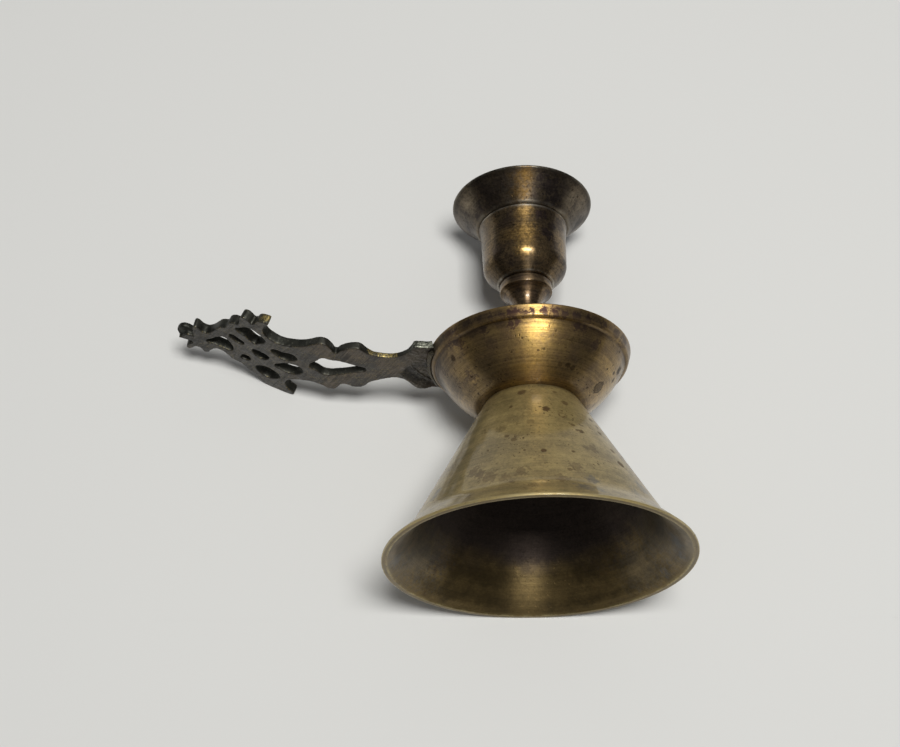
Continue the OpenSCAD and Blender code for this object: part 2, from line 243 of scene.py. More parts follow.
class Shader:
    """One material's nodes. Places are in millimetres of the piece's own space, so they ride with it."""

    def __init__(self, name):
        self.material = bpy.data.materials.new(name)
        self.material.use_nodes = True
        self.nodes = self.material.node_tree.nodes
        self.links = self.material.node_tree.links
        self.nodes.clear()
        coordinates = self.nodes.new("ShaderNodeTexCoord").outputs["Object"]
        self.place = self.vector("SCALE", coordinates, scale=1 / MM)
        x, y, self.z = self.split(self.place)
        self.r = self.math("SQRT", self.math("ADD", self.math("MULTIPLY", x, x), self.math("MULTIPLY", y, y)))
        # Turned lines: the radius and the height, with a little drift round the piece
        drift = self.noise(self.place, 0.05, detail=1)
        self.turned = self.join(self.r, self.math("MULTIPLY", drift, 2.0), self.z)

    def put(self, value, socket):
        if isinstance(value, bpy.types.NodeSocket):
            self.links.new(value, socket)
        else:
            socket.default_value = value

    def node(self, kind, output, inputs, **settings):
        made = self.nodes.new(kind)
        for key, value in settings.items():
            setattr(made, key, value)
        for key, value in inputs.items():
            self.put(value, made.inputs[key])
        return made.outputs[output]

    def math(self, operation, a, b=0.0, clamp=False):
        return self.node("ShaderNodeMath", 0, {0: a, 1: b}, operation=operation, use_clamp=clamp)

    def vector(self, operation, a, b=(0, 0, 0), scale=1.0):
        made = self.nodes.new("ShaderNodeVectorMath")
        made.operation = operation
        self.put(a, made.inputs[0])
        self.put(b, made.inputs[1])
        if operation == "SCALE":
            self.put(scale, made.inputs["Scale"])
        return made.outputs["Value" if operation in ("DOT_PRODUCT", "DISTANCE", "LENGTH") else "Vector"]

    def split(self, value):
        made = self.nodes.new("ShaderNodeSeparateXYZ")
        self.put(value, made.inputs[0])
        return made.outputs[0], made.outputs[1], made.outputs[2]

    def join(self, x, y, z):
        return self.node("ShaderNodeCombineXYZ", 0, {0: x, 1: y, 2: z})

    def noise(self, place, scale, detail=3.0, rough=0.55, distortion=0.0, seed=0.0):
        inputs = {"Vector": place, "W": seed, "Scale": scale, "Detail": detail, "Roughness": rough,
                  "Distortion": distortion}
        return self.node("ShaderNodeTexNoise", 0, inputs, noise_dimensions="4D")

    def ramp(self, value, low, high, to_low=0.0, to_high=1.0):
        """Maps low..high smoothly to to_low..to_high, and holds the ends outside."""
        inputs = {"Value": value, "From Min": low, "From Max": high, "To Min": to_low, "To Max": to_high}
        return self.node("ShaderNodeMapRange", 0, inputs, interpolation_type="SMOOTHSTEP")

    def mix(self, factor, a, b):
        made = self.nodes.new("ShaderNodeMix")
        made.data_type = "RGBA"
        self.put(factor, made.inputs[0])
        for colour, socket in ((a, made.inputs[6]), (b, made.inputs[7])):
            self.put(colour if isinstance(colour, bpy.types.NodeSocket) else (*colour, 1), socket)
        return made.outputs[2]

    def attribute(self, name):
        made = self.nodes.new("ShaderNodeAttribute")
        made.attribute_name = name
        return made.outputs["Fac"]

    def spots(self, places, ragged=0.35, soft=0.0):
        """A mask of round marks, given as (x, y, z, radius, strength) in millimetres, with ragged borders.

        A negative strength stands for a ring of that strength. soft widens the borders.
        """
        edge = self.math("MULTIPLY", self.math("SUBTRACT", self.noise(self.place, 1.1, seed=5), 0.5), ragged * 4)
        mask = 0.0
        for x, y, z, radius, strength in places:
            away = self.math("DIVIDE", self.vector("DISTANCE", self.place, (x, y, z)), radius)
            away = self.math("ADD", away, edge)
            if strength < 0:
                away = self.math("ABSOLUTE", self.math("SUBTRACT", away, 0.8))
                one = self.ramp(away, 0.3, 0.1, 0, -strength)
            else:
                one = self.ramp(away, 1.15 + 0.4 * soft, 0.6 - 0.5 * soft, 0, strength)
            mask = self.math("MAXIMUM", mask, one)
        return mask

    def finish(self, colour, roughness, height, bump_depth, anisotropy=0.0, metallic=1.0, film=0.0):
        """Ends the tree in a Principled surface, with its bump given in millimetres. film is a thin clear tarnish."""
        surface = self.nodes.new("ShaderNodeBsdfPrincipled")
        self.put(film, surface.inputs["Coat Weight"])
        surface.inputs["Coat Roughness"].default_value = 0.09
        self.put(metallic, surface.inputs["Metallic"])
        self.put(anisotropy, surface.inputs["Anisotropic"])
        if anisotropy != 0.0:
            tangent = self.nodes.new("ShaderNodeTangent")
            tangent.direction_type = "RADIAL"
            tangent.axis = "Z"
            surface.inputs["Anisotropic Rotation"].default_value = 0.25
            self.links.new(tangent.outputs[0], surface.inputs["Tangent"])
        self.put(colour, surface.inputs["Base Color"])
        self.put(roughness, surface.inputs["Roughness"])
        bump = self.nodes.new("ShaderNodeBump")
        bump.inputs["Distance"].default_value = bump_depth * MM
        self.put(height, bump.inputs["Height"])
        self.links.new(bump.outputs[0], surface.inputs["Normal"])
        out = self.nodes.new("ShaderNodeOutputMaterial")
        self.links.new(surface.outputs[0], out.inputs["Surface"])
        return self.material


def on_surface(azimuth, r, z):
    """A point at an azimuth in degrees, from the front towards +X, at a radius and a height."""
    a = math.radians(azimuth)
    return r * math.sin(a), -r * math.cos(a), z


def aged_brass(name, light, dark, stain, stain_share, spots=(), patches=(), greys=(), shades=(), bare_and_highlight=(), inside_shade_marks=(),
               gold=(0.42, 0.27, 0.085), dot=(0.04, 0.024, 0.011), shine=0.28, dull=0.38, lines=1.0, grain=1.0,
               pits=0.5, mottle=3.0, relief=0.05, metal=0.97, stretch=0.75, film=0.4, worn=None, shade=None,
               lining=(0.145, 0.101, 0.04),
               seed=0.0):
    """Turned brass under its patina.

    light and dark are the tones of the metal, stain the colour of the darkest patina and stain_share how
    much of the surface it takes. spots are small dark marks, patches wide purple-brown ones and greys blue-grey
    ones. shades are painted light: broad soft-bordered marks of painted shade and painted reflection, in the tone
    shade. bare marks the gold of worn-through metal, set on the highlight so that it paints the highlight
    brighter as well, and smoke marks painted shade inside the bell. dot is the colour of the small marks. lines,
    grain and pits say how much the turned lines, the fine grain and the pitting show, mottle how finely the
    metal's tone breaks up, relief the depth of it all in millimetres, stretch how far the turned lines draw out a
    highlight, film the clear tarnish and worn the tone of rubbed edges. lining is the tone of the bell's inside,
    which turns to painted shade further in.
    """
    s = Shader(name)
    cloud = s.noise(s.place, 0.055, detail=5, rough=0.6, seed=seed)
    patchy = s.noise(s.place, 0.22, detail=mottle, rough=0.6, seed=seed + 1)
    speckle = s.noise(s.place, 1.5, detail=4, rough=0.75, seed=seed + 4)
    ring = s.noise(s.turned, 0.9, detail=4, rough=0.8, seed=seed + 2)
    fine_ring = s.noise(s.turned, 3.2, detail=3, rough=0.7, seed=seed + 17)
    broad_ring = s.noise(s.turned, 0.16, detail=2, rough=0.6, seed=seed + 3)
    # The metal's tone: clouds, mottling and bands from the lathe
    tone = s.math("MULTIPLY", cloud, 0.35)
    tone = s.math("ADD", tone, s.math("MULTIPLY", patchy, 0.35))
    tone = s.math("ADD", tone, s.math("MULTIPLY", broad_ring, 0.3))
    colour = s.mix(s.ramp(tone, 0.41, 0.59), light, dark)
    # Gold of worn-through metal, most of it set on the highlight streak, where it paints the highlight as well
    if bare_and_highlight:
        colour = s.mix(s.spots(bare_and_highlight, ragged=0.6, soft=1.0), colour, gold)
    # Stains lie in clouds that follow the turned lines a little, with a purple-black heart
    blot = s.math("ADD", s.math("MULTIPLY", s.noise(s.place, 0.13, detail=6, rough=0.68, seed=seed + 7), 0.75),
                  s.math("MULTIPLY", s.math("ADD", broad_ring, ring), 0.125))
    edge = 0.66 - 0.3 * stain_share
    stained = s.math("MULTIPLY", s.ramp(blot, edge - 0.05, edge + 0.05), 0.85)
    if patches:
        stained = s.math("MAXIMUM", stained, s.spots(patches, ragged=1.0))
    colour = s.mix(s.math("MULTIPLY", s.ramp(blot, edge - 0.12, edge), 0.45), colour, dark)
    colour = s.mix(stained, colour, stain)
    # Painted light: broad soft marks of painted shade and painted reflection, laid in the tone shade
    painted_light_mask = s.spots(shades, ragged=0.3, soft=1.0)
    colour = s.mix(painted_light_mask, colour, shade or tuple(1.5 * c for c in stain))
    # Freckles: small brown dots where a fine noise peaks, and short dark pits along the turned lines
    where = s.ramp(s.noise(s.place, 0.09, detail=2, seed=seed + 13), 0.42, 0.62)
    dots = s.ramp(s.noise(s.place, 1.1, detail=2, rough=0.5, seed=seed + 11), 0.62, 0.67)
    dots = s.math("MULTIPLY", dots, where)
    squeezed = s.join(s.math("MULTIPLY", s.split(s.place)[0], 0.8), s.split(s.place)[1], s.math("MULTIPLY", s.z, 1.7))
    pitting = s.ramp(s.noise(squeezed, 1.5, detail=3, rough=0.6, seed=seed + 19), 0.63, 0.68, 0, pits)
    dots = s.math("MAXIMUM", dots, pitting)
    if spots:
        dots = s.math("MAXIMUM", dots, s.spots(spots))
    colour = s.mix(s.math("MULTIPLY", dots, 0.9), colour, dot)
    # The bell's inside, first a duller lining, then painted shade further in
    deep = s.attribute("deep")
    inner = s.ramp(deep, 0.1, 0.3)
    colour = s.mix(inner, colour, s.mix(s.ramp(tone, 0.42, 0.58), lining, tuple(0.5 * c for c in lining)))
    colour = s.mix(s.math("MULTIPLY", inner, s.math("MULTIPLY", s.math("MAXIMUM", dots, stained), 0.6)), colour, stain)
    if greys:
        colour = s.mix(s.math("MULTIPLY", s.spots(greys, ragged=0.75, soft=0.5), 0.75), colour, (0.075, 0.078, 0.08))
    # Painted shade deep in the bell: it grows with depth and noise, weakens towards the sides and spreads over the
    # smoke marks
    sideways = s.math("ABSOLUTE", s.split(s.place)[0])
    inside_shade = s.math("ADD", deep, s.math("MULTIPLY", s.math("SUBTRACT", patchy, 0.5), 0.2))
    inside_shade = s.ramp(s.math("SUBTRACT", inside_shade, s.math("MULTIPLY", sideways, 0.006)), 0.32, 0.64, 0, 0.93)
    if inside_shade_marks:
        inside_shade = s.math("MAXIMUM", inside_shade, s.spots(inside_shade_marks, ragged=0.4, soft=1.0))
    colour = s.mix(inside_shade, colour, (0.056, 0.042, 0.036))
    # Grime and painted shade in the hollow corners and where pieces meet, bright metal on the worn edges
    dirt_and_shade = s.math("MULTIPLY", s.attribute("grime_and_shade"), s.ramp(patchy, 0.3, 0.6, 0.5, 1.0))
    colour = s.mix(s.math("MULTIPLY", dirt_and_shade, 0.75), colour, tuple(0.3 * c for c in stain))
    rub = s.math("MULTIPLY", s.ramp(speckle, 0.36, 0.58, 0.1, 1.0), s.ramp(patchy, 0.38, 0.6, 0.25, 1.0))
    rub = s.math("MULTIPLY", s.attribute("wear"), rub)
    colour = s.mix(s.math("MULTIPLY", rub, 0.8), colour, worn or tuple(min(1, 1.9 * c) for c in light))
    # Turned lines and grain vary the tone finely
    streaks = s.ramp(s.math("ADD", s.math("MULTIPLY", ring, 0.35), s.math("MULTIPLY", fine_ring, 0.65)), 0.36, 0.64,
                     -0.42 * lines, 0.42 * lines)
    flecks = s.ramp(speckle, 0.33, 0.67, 0.35 * grain, -0.35 * grain)
    colour = s.vector("SCALE", colour, scale=s.math("ADD", s.math("ADD", streaks, flecks), 1.0))
    rough = s.ramp(tone, 0.4, 0.6, shine, dull)
    rough = s.math("ADD", rough, s.math("MULTIPLY", s.math("MAXIMUM", stained, dots), 0.14))
    rough = s.math("ADD", rough, s.math("MULTIPLY", inner, 0.4 - dull))
    rough = s.math("ADD", rough, s.math("MULTIPLY", inside_shade, 0.25))
    rough = s.math("SUBTRACT", rough, s.math("MULTIPLY", rub, 0.05), clamp=True)
    height = s.math("ADD", ring, s.math("MULTIPLY", fine_ring, 0.5))
    height = s.math("SUBTRACT", height, s.math("MULTIPLY", dots, 0.4))
    height = s.math("ADD", height, s.math("MULTIPLY", speckle, 0.3))
    # The film is clear only where nothing has stained it, it is thinner under the painted shade and reflection, and the
    # bell's inside has next to none
    film = s.math("MULTIPLY", s.math("SUBTRACT", 1.0, s.math("MULTIPLY", inner, 0.93)), film)
    film = s.math("MULTIPLY", s.math("SUBTRACT", 1.0, s.math("MULTIPLY", dots, 0.8)), film)
    film = s.math("MULTIPLY", s.math("SUBTRACT", 1.0, s.math("MULTIPLY", painted_light_mask, 0.8)), film)
    return s.finish(colour, rough, height, relief, anisotropy=s.ramp(inner, 0.0, 1.0, stretch, 0.85),
                    metallic=s.ramp(inner, 0.0, 1.0, metal, 0.87), film=film)


def cast_brass(name, wear_places):
    """The handle's filed casting: grey-brown, with slanting file marks and bright rubbed places."""
    s = Shader(name)
    across = s.vector("DOT_PRODUCT", s.place, (0.83, 0.55, 0.0))
    along = s.vector("DOT_PRODUCT", s.place, (0.55, -0.83, 0.0))
    strokes = s.join(across, s.math("MULTIPLY", along, 0.12), s.math("MULTIPLY", s.z, 0.5))
    file_marks = s.noise(strokes, 1.3, detail=5, rough=0.7, distortion=0.2)
    deep_marks = s.ramp(s.noise(strokes, 0.55, detail=2, rough=0.5, seed=3), 0.60, 0.68)
    cloud = s.noise(s.place, 0.12, detail=4, rough=0.6, seed=4)
    grain = s.noise(s.place, 2.2, detail=4, rough=0.7, seed=6)
    colour = s.mix(s.ramp(cloud, 0.42, 0.6), (0.072, 0.067, 0.062), (0.11, 0.09, 0.07))
    # The head is greyer, and the tab darker: tarnish on the tab, and painted shade in the hollow under it
    colour = s.mix(s.ramp(s.split(s.place)[0], -60, -82, 0.0, 0.75), colour, (0.058, 0.058, 0.057))
    colour = s.mix(s.ramp(file_marks, 0.42, 0.62, 0.0, 0.5), colour, (0.045, 0.042, 0.038))
    tarnish = s.math("ADD", s.math("MULTIPLY", s.attribute("tab"), 0.3), s.math("MULTIPLY", s.attribute("hollow"), 0.5))
    tarnish = s.math("MULTIPLY", tarnish, s.ramp(grain, 0.62, 0.5, 0.3, 1.0), clamp=True)
    colour = s.mix(tarnish, colour, (0.026, 0.024, 0.022))
    colour = s.mix(s.math("MULTIPLY", deep_marks, 0.6), colour, (0.03, 0.028, 0.026))
    flat = s.attribute("face")
    walls = s.mix(s.ramp(cloud, 0.4, 0.62), (0.042, 0.043, 0.037), (0.075, 0.074, 0.062))
    colour = s.mix(flat, walls, colour)
    # Pale specks on the walls: painted glints
    glint_speck = s.math("MULTIPLY", s.ramp(s.noise(s.place, 1.6, detail=3, rough=0.6, seed=9), 0.6, 0.66),
                   s.math("SUBTRACT", 1.0, flat))
    colour = s.mix(s.math("MULTIPLY", glint_speck, 0.3), colour, (0.26, 0.25, 0.2))
    rub = s.math("MULTIPLY", s.spots(wear_places, ragged=0.6), s.ramp(grain, 0.42, 0.58, 0.05, 1.0))
    rub = s.math("MULTIPLY", rub, s.math("SUBTRACT", 1.0, flat))
    rub = s.math("MAXIMUM", rub, s.math("MULTIPLY", s.attribute("wear"), s.ramp(grain, 0.5, 0.62, 0.0, 0.45)))
    # Rubbed metal is yellow, and nearly white on the tab, where it also paints a highlight
    colour = s.mix(rub, colour, s.mix(s.ramp(s.split(s.place)[0], -38, -35), (0.5, 0.39, 0.15), (0.4, 0.41, 0.33)))
    rough = s.ramp(file_marks, 0.35, 0.65, 0.36, 0.52)
    rough = s.math("ADD", rough, s.math("MULTIPLY", s.math("SUBTRACT", 1.0, flat), 0.12))
    rough = s.math("SUBTRACT", rough, s.math("MULTIPLY", rub, 0.12))
    height = s.math("ADD", s.math("MULTIPLY", file_marks, 1.0), s.math("MULTIPLY", grain, 0.7))
    height = s.math("SUBTRACT", height, s.math("MULTIPLY", deep_marks, 0.8))
    return s.finish(colour, rough, height, 0.06)


def solder(name):
    """Rough brazing alloy under dark tarnish."""
    s = Shader(name)
    grain = s.noise(s.place, 1.4, detail=4, rough=0.65)
    colour = s.mix(s.ramp(grain, 0.4, 0.62), (0.04, 0.036, 0.03), (0.12, 0.1, 0.065))
    return s.finish(colour, s.ramp(grain, 0.3, 0.7, 0.4, 0.6), grain, 0.08)


def old_steel(name):
    """Dull steel with a little rust."""
    s = Shader(name)
    cloud = s.noise(s.place, 0.5, detail=5, rough=0.65)
    grain = s.noise(s.place, 3.0, detail=3, rough=0.6, seed=2)
    colour = s.mix(s.ramp(grain, 0.35, 0.65), (0.24, 0.23, 0.21), (0.13, 0.125, 0.115))
    colour = s.mix(s.ramp(cloud, 0.52, 0.66, 0, 0.8), colour, (0.12, 0.06, 0.03))
    return s.finish(colour, s.ramp(cloud, 0.35, 0.65, 0.38, 0.62), grain, 0.02)


def dress(piece, body, slot, material, *nodes):
    """Gives a piece its material and its place in the frame."""
    piece.data.materials.clear()
    piece.data.materials.append(material)
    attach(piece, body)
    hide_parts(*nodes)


# Foot: an upright land at the rim, a short flare, then a long straight cone

CREASE_R, CREASE_Z = 36.5, 7.1
CONE_TOP_R = 14.1
LAND = 0.65
SLOPE = (CREASE_R - CONE_TOP_R) / (FOOT_TOP - CREASE_Z)
FLARE_SLOPE = (RIM_R - CREASE_R) / (CREASE_Z - LAND)
CROWN = WASHER_TOP
STUD_HOLE_R = STUD_R + 0.1


def cone_r(z):
    return CREASE_R - SLOPE * (z - CREASE_Z)


def make_foot():
    wall = 1.708
    blend = 1.4
    inner_flare_r = RIM_R - FLARE_SLOPE * (0.3 - LAND) - 2.2
    inner_crease_z = 5.35
    outline = [(RIM_R, 0), (RIM_R, LAND)]
    outline += bow((RIM_R - FLARE_SLOPE * (CREASE_Z - blend - LAND), CREASE_Z - blend),
                   (cone_r(CREASE_Z + blend), CREASE_Z + blend), -0.12, 8)
    outline += arc((CONE_TOP_R - 0.4, FOOT_TOP - 0.4), 0.4, 30, 90, 4)
    outline += [(STUD_HOLE_R, FOOT_TOP), (STUD_HOLE_R, CROWN)]
    outline += [(cone_r(CROWN) - wall - 1, CROWN), (cone_r(CROWN - 1.5) - wall, CROWN - 1.5)]
    # Inside, the cone runs into the flare in a long curve
    run = 5.5
    crease = Vector((cone_r(inner_crease_z) - wall, inner_crease_z))
    outline += bow(crease + Vector((-SLOPE, 1)).normalized() * run,
                   crease + Vector((FLARE_SLOPE, -1)).normalized() * run, 0.434, 10)
    outline += [(inner_flare_r, 0.3), (inner_flare_r + 0.3, 0)]
    lines = groove(0.035, 0.16, [(cone_r(z), z) for z in (38.5, 41.9, 24.6)])
    def deep(r, z):
        outer = np.where(z < CREASE_Z, RIM_R - FLARE_SLOPE * (z - LAND), cone_r(z))
        return np.where(r < outer - 0.9, np.clip(0.35 + (z - 9) / 20, 0.35, 1), 0)

    return lathe("bell_foot", outline, creases=[(CONE_TOP_R, FOOT_TOP), (WASHER_R, CROWN)], step=0.8,
                 segments=320, shape=lines, zone=deep)


# Drip pan: flat bottom, swelling bowl, rim band

BOWL = bow((17.1, FOOT_TOP + 0.6), (27.9, FOOT_TOP + 13.1), 1.1, 16)
BAND_R, BAND_Z = PAN_R - 0.8, FOOT_TOP + 13.8
BAND_SLOPE = 0.8 / (PAN_TOP - 0.4 - BAND_Z)


def bowl_r(z):
    """Radius of the pan's outside at a height."""
    if z > BAND_Z:
        return BAND_R + BAND_SLOPE * (z - BAND_Z)
    return float(np.interp(z, [q[1] for q in BOWL], [q[0] for q in BOWL]))


def make_pan():
    outline = [(STUD_HOLE_R, FOOT_TOP), (14.6, FOOT_TOP), (15.3, FOOT_TOP + 0.03), (15.9, FOOT_TOP + 0.12)]
    outline += [(16.5, FOOT_TOP + 0.29)]
    outline += BOWL
    outline += bow((28.2, FOOT_TOP + 13.2), (BAND_R, BAND_Z), 0.15, 4)
    outline += arc((PAN_R - 0.4, PAN_TOP - 0.4), 0.4, 0, 90, 4)
    outline += arc((PAN_R - 1.1, PAN_TOP - 0.4), 0.4, 90, 180, 4)
    outline += [(27.7, FOOT_TOP + 14.4)]
    outline += bow((26.1, FOOT_TOP + 12.7), (17.2, PAN_FLOOR + 1.2), -1.1, 16)
    outline += bow((16.8, PAN_FLOOR + 0.8), (14.8, PAN_FLOOR), -0.3, 5)
    outline += [(STUD_HOLE_R, PAN_FLOOR)]
    lines = groove(0.05, 0.15, [(bowl_r(z), z) for z in (60.0, 56.3)])
    return lathe("pan_shell", outline, creases=[(9.2, PAN_FLOOR)], step=0.7, segments=288, shape=lines)


# Stem: base ring, hollow, bead, vase, neck and collar

def make_stem():
    hole_end = PAN_FLOOR + 13
    outline = [(0, hole_end), (STUD_R + 0.05, hole_end), (STUD_R + 0.05, PAN_FLOOR)]
    outline += bow((9.2, PAN_FLOOR), (9.2, PAN_FLOOR + 1.8), 0.6, 8)
    outline += bow((8.0, PAN_FLOOR + 2), (4.8, PAN_FLOOR + 6), -0.8, 8)
    outline += bow((4.9, PAN_FLOOR + 6.1), (4.9, PAN_FLOOR + 7.9), 1, 8)
    outline += bow((4.5, PAN_FLOOR + 8.1), (7.2, PAN_FLOOR + 15.5), 0.9, 10)
    outline += bow((7.2, PAN_FLOOR + 15.6), (6.3, PAN_FLOOR + 20.5), 0.35, 6)
    outline += bow((6.2, PAN_FLOOR + 20.8), (4, PAN_FLOOR + 30), -0.35, 8)
    outline += bow((4, PAN_FLOOR + 30.4), (6.9, STEM_TOP - 3.2), -0.9, 10)
    outline += arc((7.6, STEM_TOP - 2.4), 0.4, -90, 0, 4)
    outline += arc((7.6, STEM_TOP - 0.4), 0.4, 0, 90, 4)
    outline += [(CUP_STUD_R + 0.05, STEM_TOP), (CUP_STUD_R + 0.05, STEM_TOP - 8), (0, STEM_TOP - 8)]
    return lathe("stem_turning", outline, creases=[(9.2, PAN_FLOOR), (7.4, STEM_TOP)], fillet=0.2, step=0.7,
                 segments=192)


# Candle cup: cone, rounded corner, upright wall

def make_cup():
    hole_end = CUP_STUD_TIP + 0.4
    outline = [(0, hole_end), (CUP_STUD_R + 0.05, hole_end), (CUP_STUD_R + 0.05, STEM_TOP)]
    outline += [(7.3, STEM_TOP), (8.4, STEM_TOP + 0.35)]
    outline += arc((8.35, STEM_TOP + 6.9), 4.5, -42, 0, 10)
    outline += bow((13.1, STEM_TOP + 15), (13.7, MOUTH - 0.2), -0.1, 6)
    outline += [(13.5, MOUTH), (12.05, MOUTH)]
    outline += arc((9.55, 98.5), 2.5, 0, -90, 6)
    outline += [(0, 96.0)]
    return lathe("cup_turning", outline, creases=[(8, STEM_TOP)], step=0.7, segments=256)


# Nozzle: a sleeve and a flared dish

def make_nozzle():
    outline = [(11.1, SLEEVE_END), (11.95, SLEEVE_END), (11.95, MOUTH), (13.8, MOUTH), (14.2, MOUTH + 0.1)]
    outline += bow((14.65, MOUTH + 0.4), (FLARE_R, MOUTH + 8.2), -0.25, 12)
    outline += bow((FLARE_R, MOUTH + 8.2), (FLARE_R - 0.9, MOUTH + 8.4), 0.25, 6)
    outline += bow((FLARE_R - 1.215, MOUTH + 8), (13.985, MOUTH + 1.4), 0.25, 12)
    outline += [(13.185, MOUTH + 0.9)]
    outline += arc((11.8, MOUTH + 0.2), 0.7, 90, 180, 5)
    return lathe("nozzle_flare", outline, fillet=0.15, step=0.6, segments=256)


# Fixings: the washer, the nut, and two screwed rods

def hexagon(flats):
    """A shape function that cuts a turned blank to a hexagon."""
    def cut(angle, r, z):
        turn = np.mod(angle, math.pi / 3) - math.pi / 6
        return np.minimum(r, flats / 2 / np.cos(turn)), z
    return cut


def thread(pitch, depth, bottom, top):
    """A shape function that winds a screw thread round a rod, run out at both ends."""
    def cut(angle, r, z):
        turn = np.mod(z / pitch - angle / (2 * math.pi), 1)
        valley = depth * np.clip(1.6 - 4 * np.abs(turn - 0.5), 0, 1)
        ends = np.clip(np.minimum(z - bottom, top - z) / pitch, 0, 1)
        return np.where(r > 1, r - valley * ends, r), z
    return cut


def rod(name, r, bottom, top, pitch):
    chamfer = 0.5
    outline = [(0, bottom), (r - chamfer, bottom), (r, bottom + chamfer), (r, top - chamfer)]
    outline += [(r - chamfer, top), (0, top)]
    return lathe(name, outline, fillet=0.1, step=pitch / 8, segments=96,
                 shape=thread(pitch, 0.55 * pitch, bottom, top))


def make_nut():
    flats = 10
    corner_r = flats / 2 / math.cos(math.pi / 6)
    bore = STUD_R + 0.05
    outline = [(bore + 0.3, NUT_END), (flats / 2 - 0.1, NUT_END), (corner_r, NUT_END + 0.55)]
    outline += [(corner_r, NUT_TOP - 0.55), (flats / 2 - 0.1, NUT_TOP), (bore + 0.3, NUT_TOP)]
    outline += [(bore, NUT_TOP - 0.3), (bore, NUT_END + 0.3)]
    return lathe("hex_nut", outline, fillet=0.08, step=0.4, segments=192, shape=hexagon(flats))


def make_washer():
    bore = STUD_HOLE_R
    outline = [(bore, NUT_TOP), (WASHER_R, NUT_TOP), (WASHER_R, WASHER_TOP), (bore, WASHER_TOP)]
    return lathe("washer", outline, creases=[(5.5, NUT_TOP)], fillet=0.2, step=0.4, segments=128)


# Handle: a flat pierced plate, bent up. Places on it are the distance from the axis and from its middle line.

HANDLE_Z = 63.75
NECK_RISE = math.radians(3.5)
STEEP_RISE = math.radians(25)
BEND_D = 54.8
BEND_UP_R = 74.6
BEND_DOWN_R = 84.4
HANDLE_T = 2.45
HEAD_T = 3.3
BEND_Z = HANDLE_Z + (BEND_D - 29) * math.tan(NECK_RISE)
UP_CENTRE = (BEND_D - BEND_UP_R * math.sin(NECK_RISE), BEND_Z + BEND_UP_R * math.cos(NECK_RISE))
STEEP_D = UP_CENTRE[0] + BEND_UP_R * math.sin(STEEP_RISE)
STEEP_Z = UP_CENTRE[1] - BEND_UP_R * math.cos(STEEP_RISE)
DOWN_CENTRE = (STEEP_D + BEND_DOWN_R * math.sin(STEEP_RISE), STEEP_Z - BEND_DOWN_R * math.cos(STEEP_RISE))
UP_LENGTH = BEND_UP_R * (STEEP_RISE - NECK_RISE)

# The near edge, at -Y, from the pan to the tip
NEAR_EDGE = [
    (27.0, -10.9), (29.9, -11.4), (32.0, -11.7), (33.2, -11.6), (34.1, -10.0), (35.6, -8.5), (37.7, -6.9), (39.4, -6.3),
    (41.8, -6.2), (45.2, -7.2), (47.4, -8.6), (49.2, -11.0), (50.6, -11.4), (53.0, -11.0), (55.2, -9.8),
    (56.8, -8.5), (57.5, -10.4), (58.4, -12.6), (59.6, -13.7), (61.2, -13.8), (63.4, -12.7), (65.8, -11.4),
    (69.2, -10.5), (73.2, -10.2), (75.4, -11.4), (77.1, -13.3), (77.2, -16.2), (76.2, -18.6), (74.6, -20.6),
    (75.4, -21.3), (77.8, -20.8), (80.0, -18.2), (81.0, -19.4), (82.3, -20.3), (83.6, -19.3), (84.4, -16.6),
    (85.2, -15.0), (86.6, -15.0), (88.3, -14.0), (89.8, -11.2), (91.9, -10.3), (94.2, -7.6), (97.0, -5.2), (98.6, -5.8),
    (99.9, -8.1), (101.2, -6.9), (102.2, -3.4), (103.4, -4.4), (105.2, -4.9), (106.9, -3.4), (107.3, -1.7)
]
FAR_EDGE = [
    (27.0, 10.9), (31.0, 12.3), (32.8, 12.8), (34.6, 12.6), (36.0, 10.9), (37.2, 8.6), (38.9, 6.6), (41.0, 5.9),
    (44.1, 6.5), (47.3, 7.8), (49.2, 8.9), (50.8, 10.6), (52.4, 11.6), (54.6, 11.3), (56.6, 9.9), (58.0, 10.0),
    (59.3, 11.6), (60.6, 13.0), (62.4, 13.0), (64.2, 11.4), (67.0, 10.0), (69.8, 9.9), (72.6, 10.6), (74.8, 11.9),
    (76.4, 14.0), (76.6, 17.4), (75.0, 21.1), (78.5, 20.8), (83.3, 20.3), (84.7, 17.9), (86.4, 15.0),
    (88.2, 12.9), (89.5, 10.1), (92.2, 8.4), (93.6, 5.4), (95.2, 3.9), (96.4, 3.7), (97.9, 5.0), (100.5, 7.0),
    (101.4, 4.8), (102.8, 4.1), (105.5, 5.5), (105.5, 3.4), (103.0, 1.4), (105.4, -0.1)
]
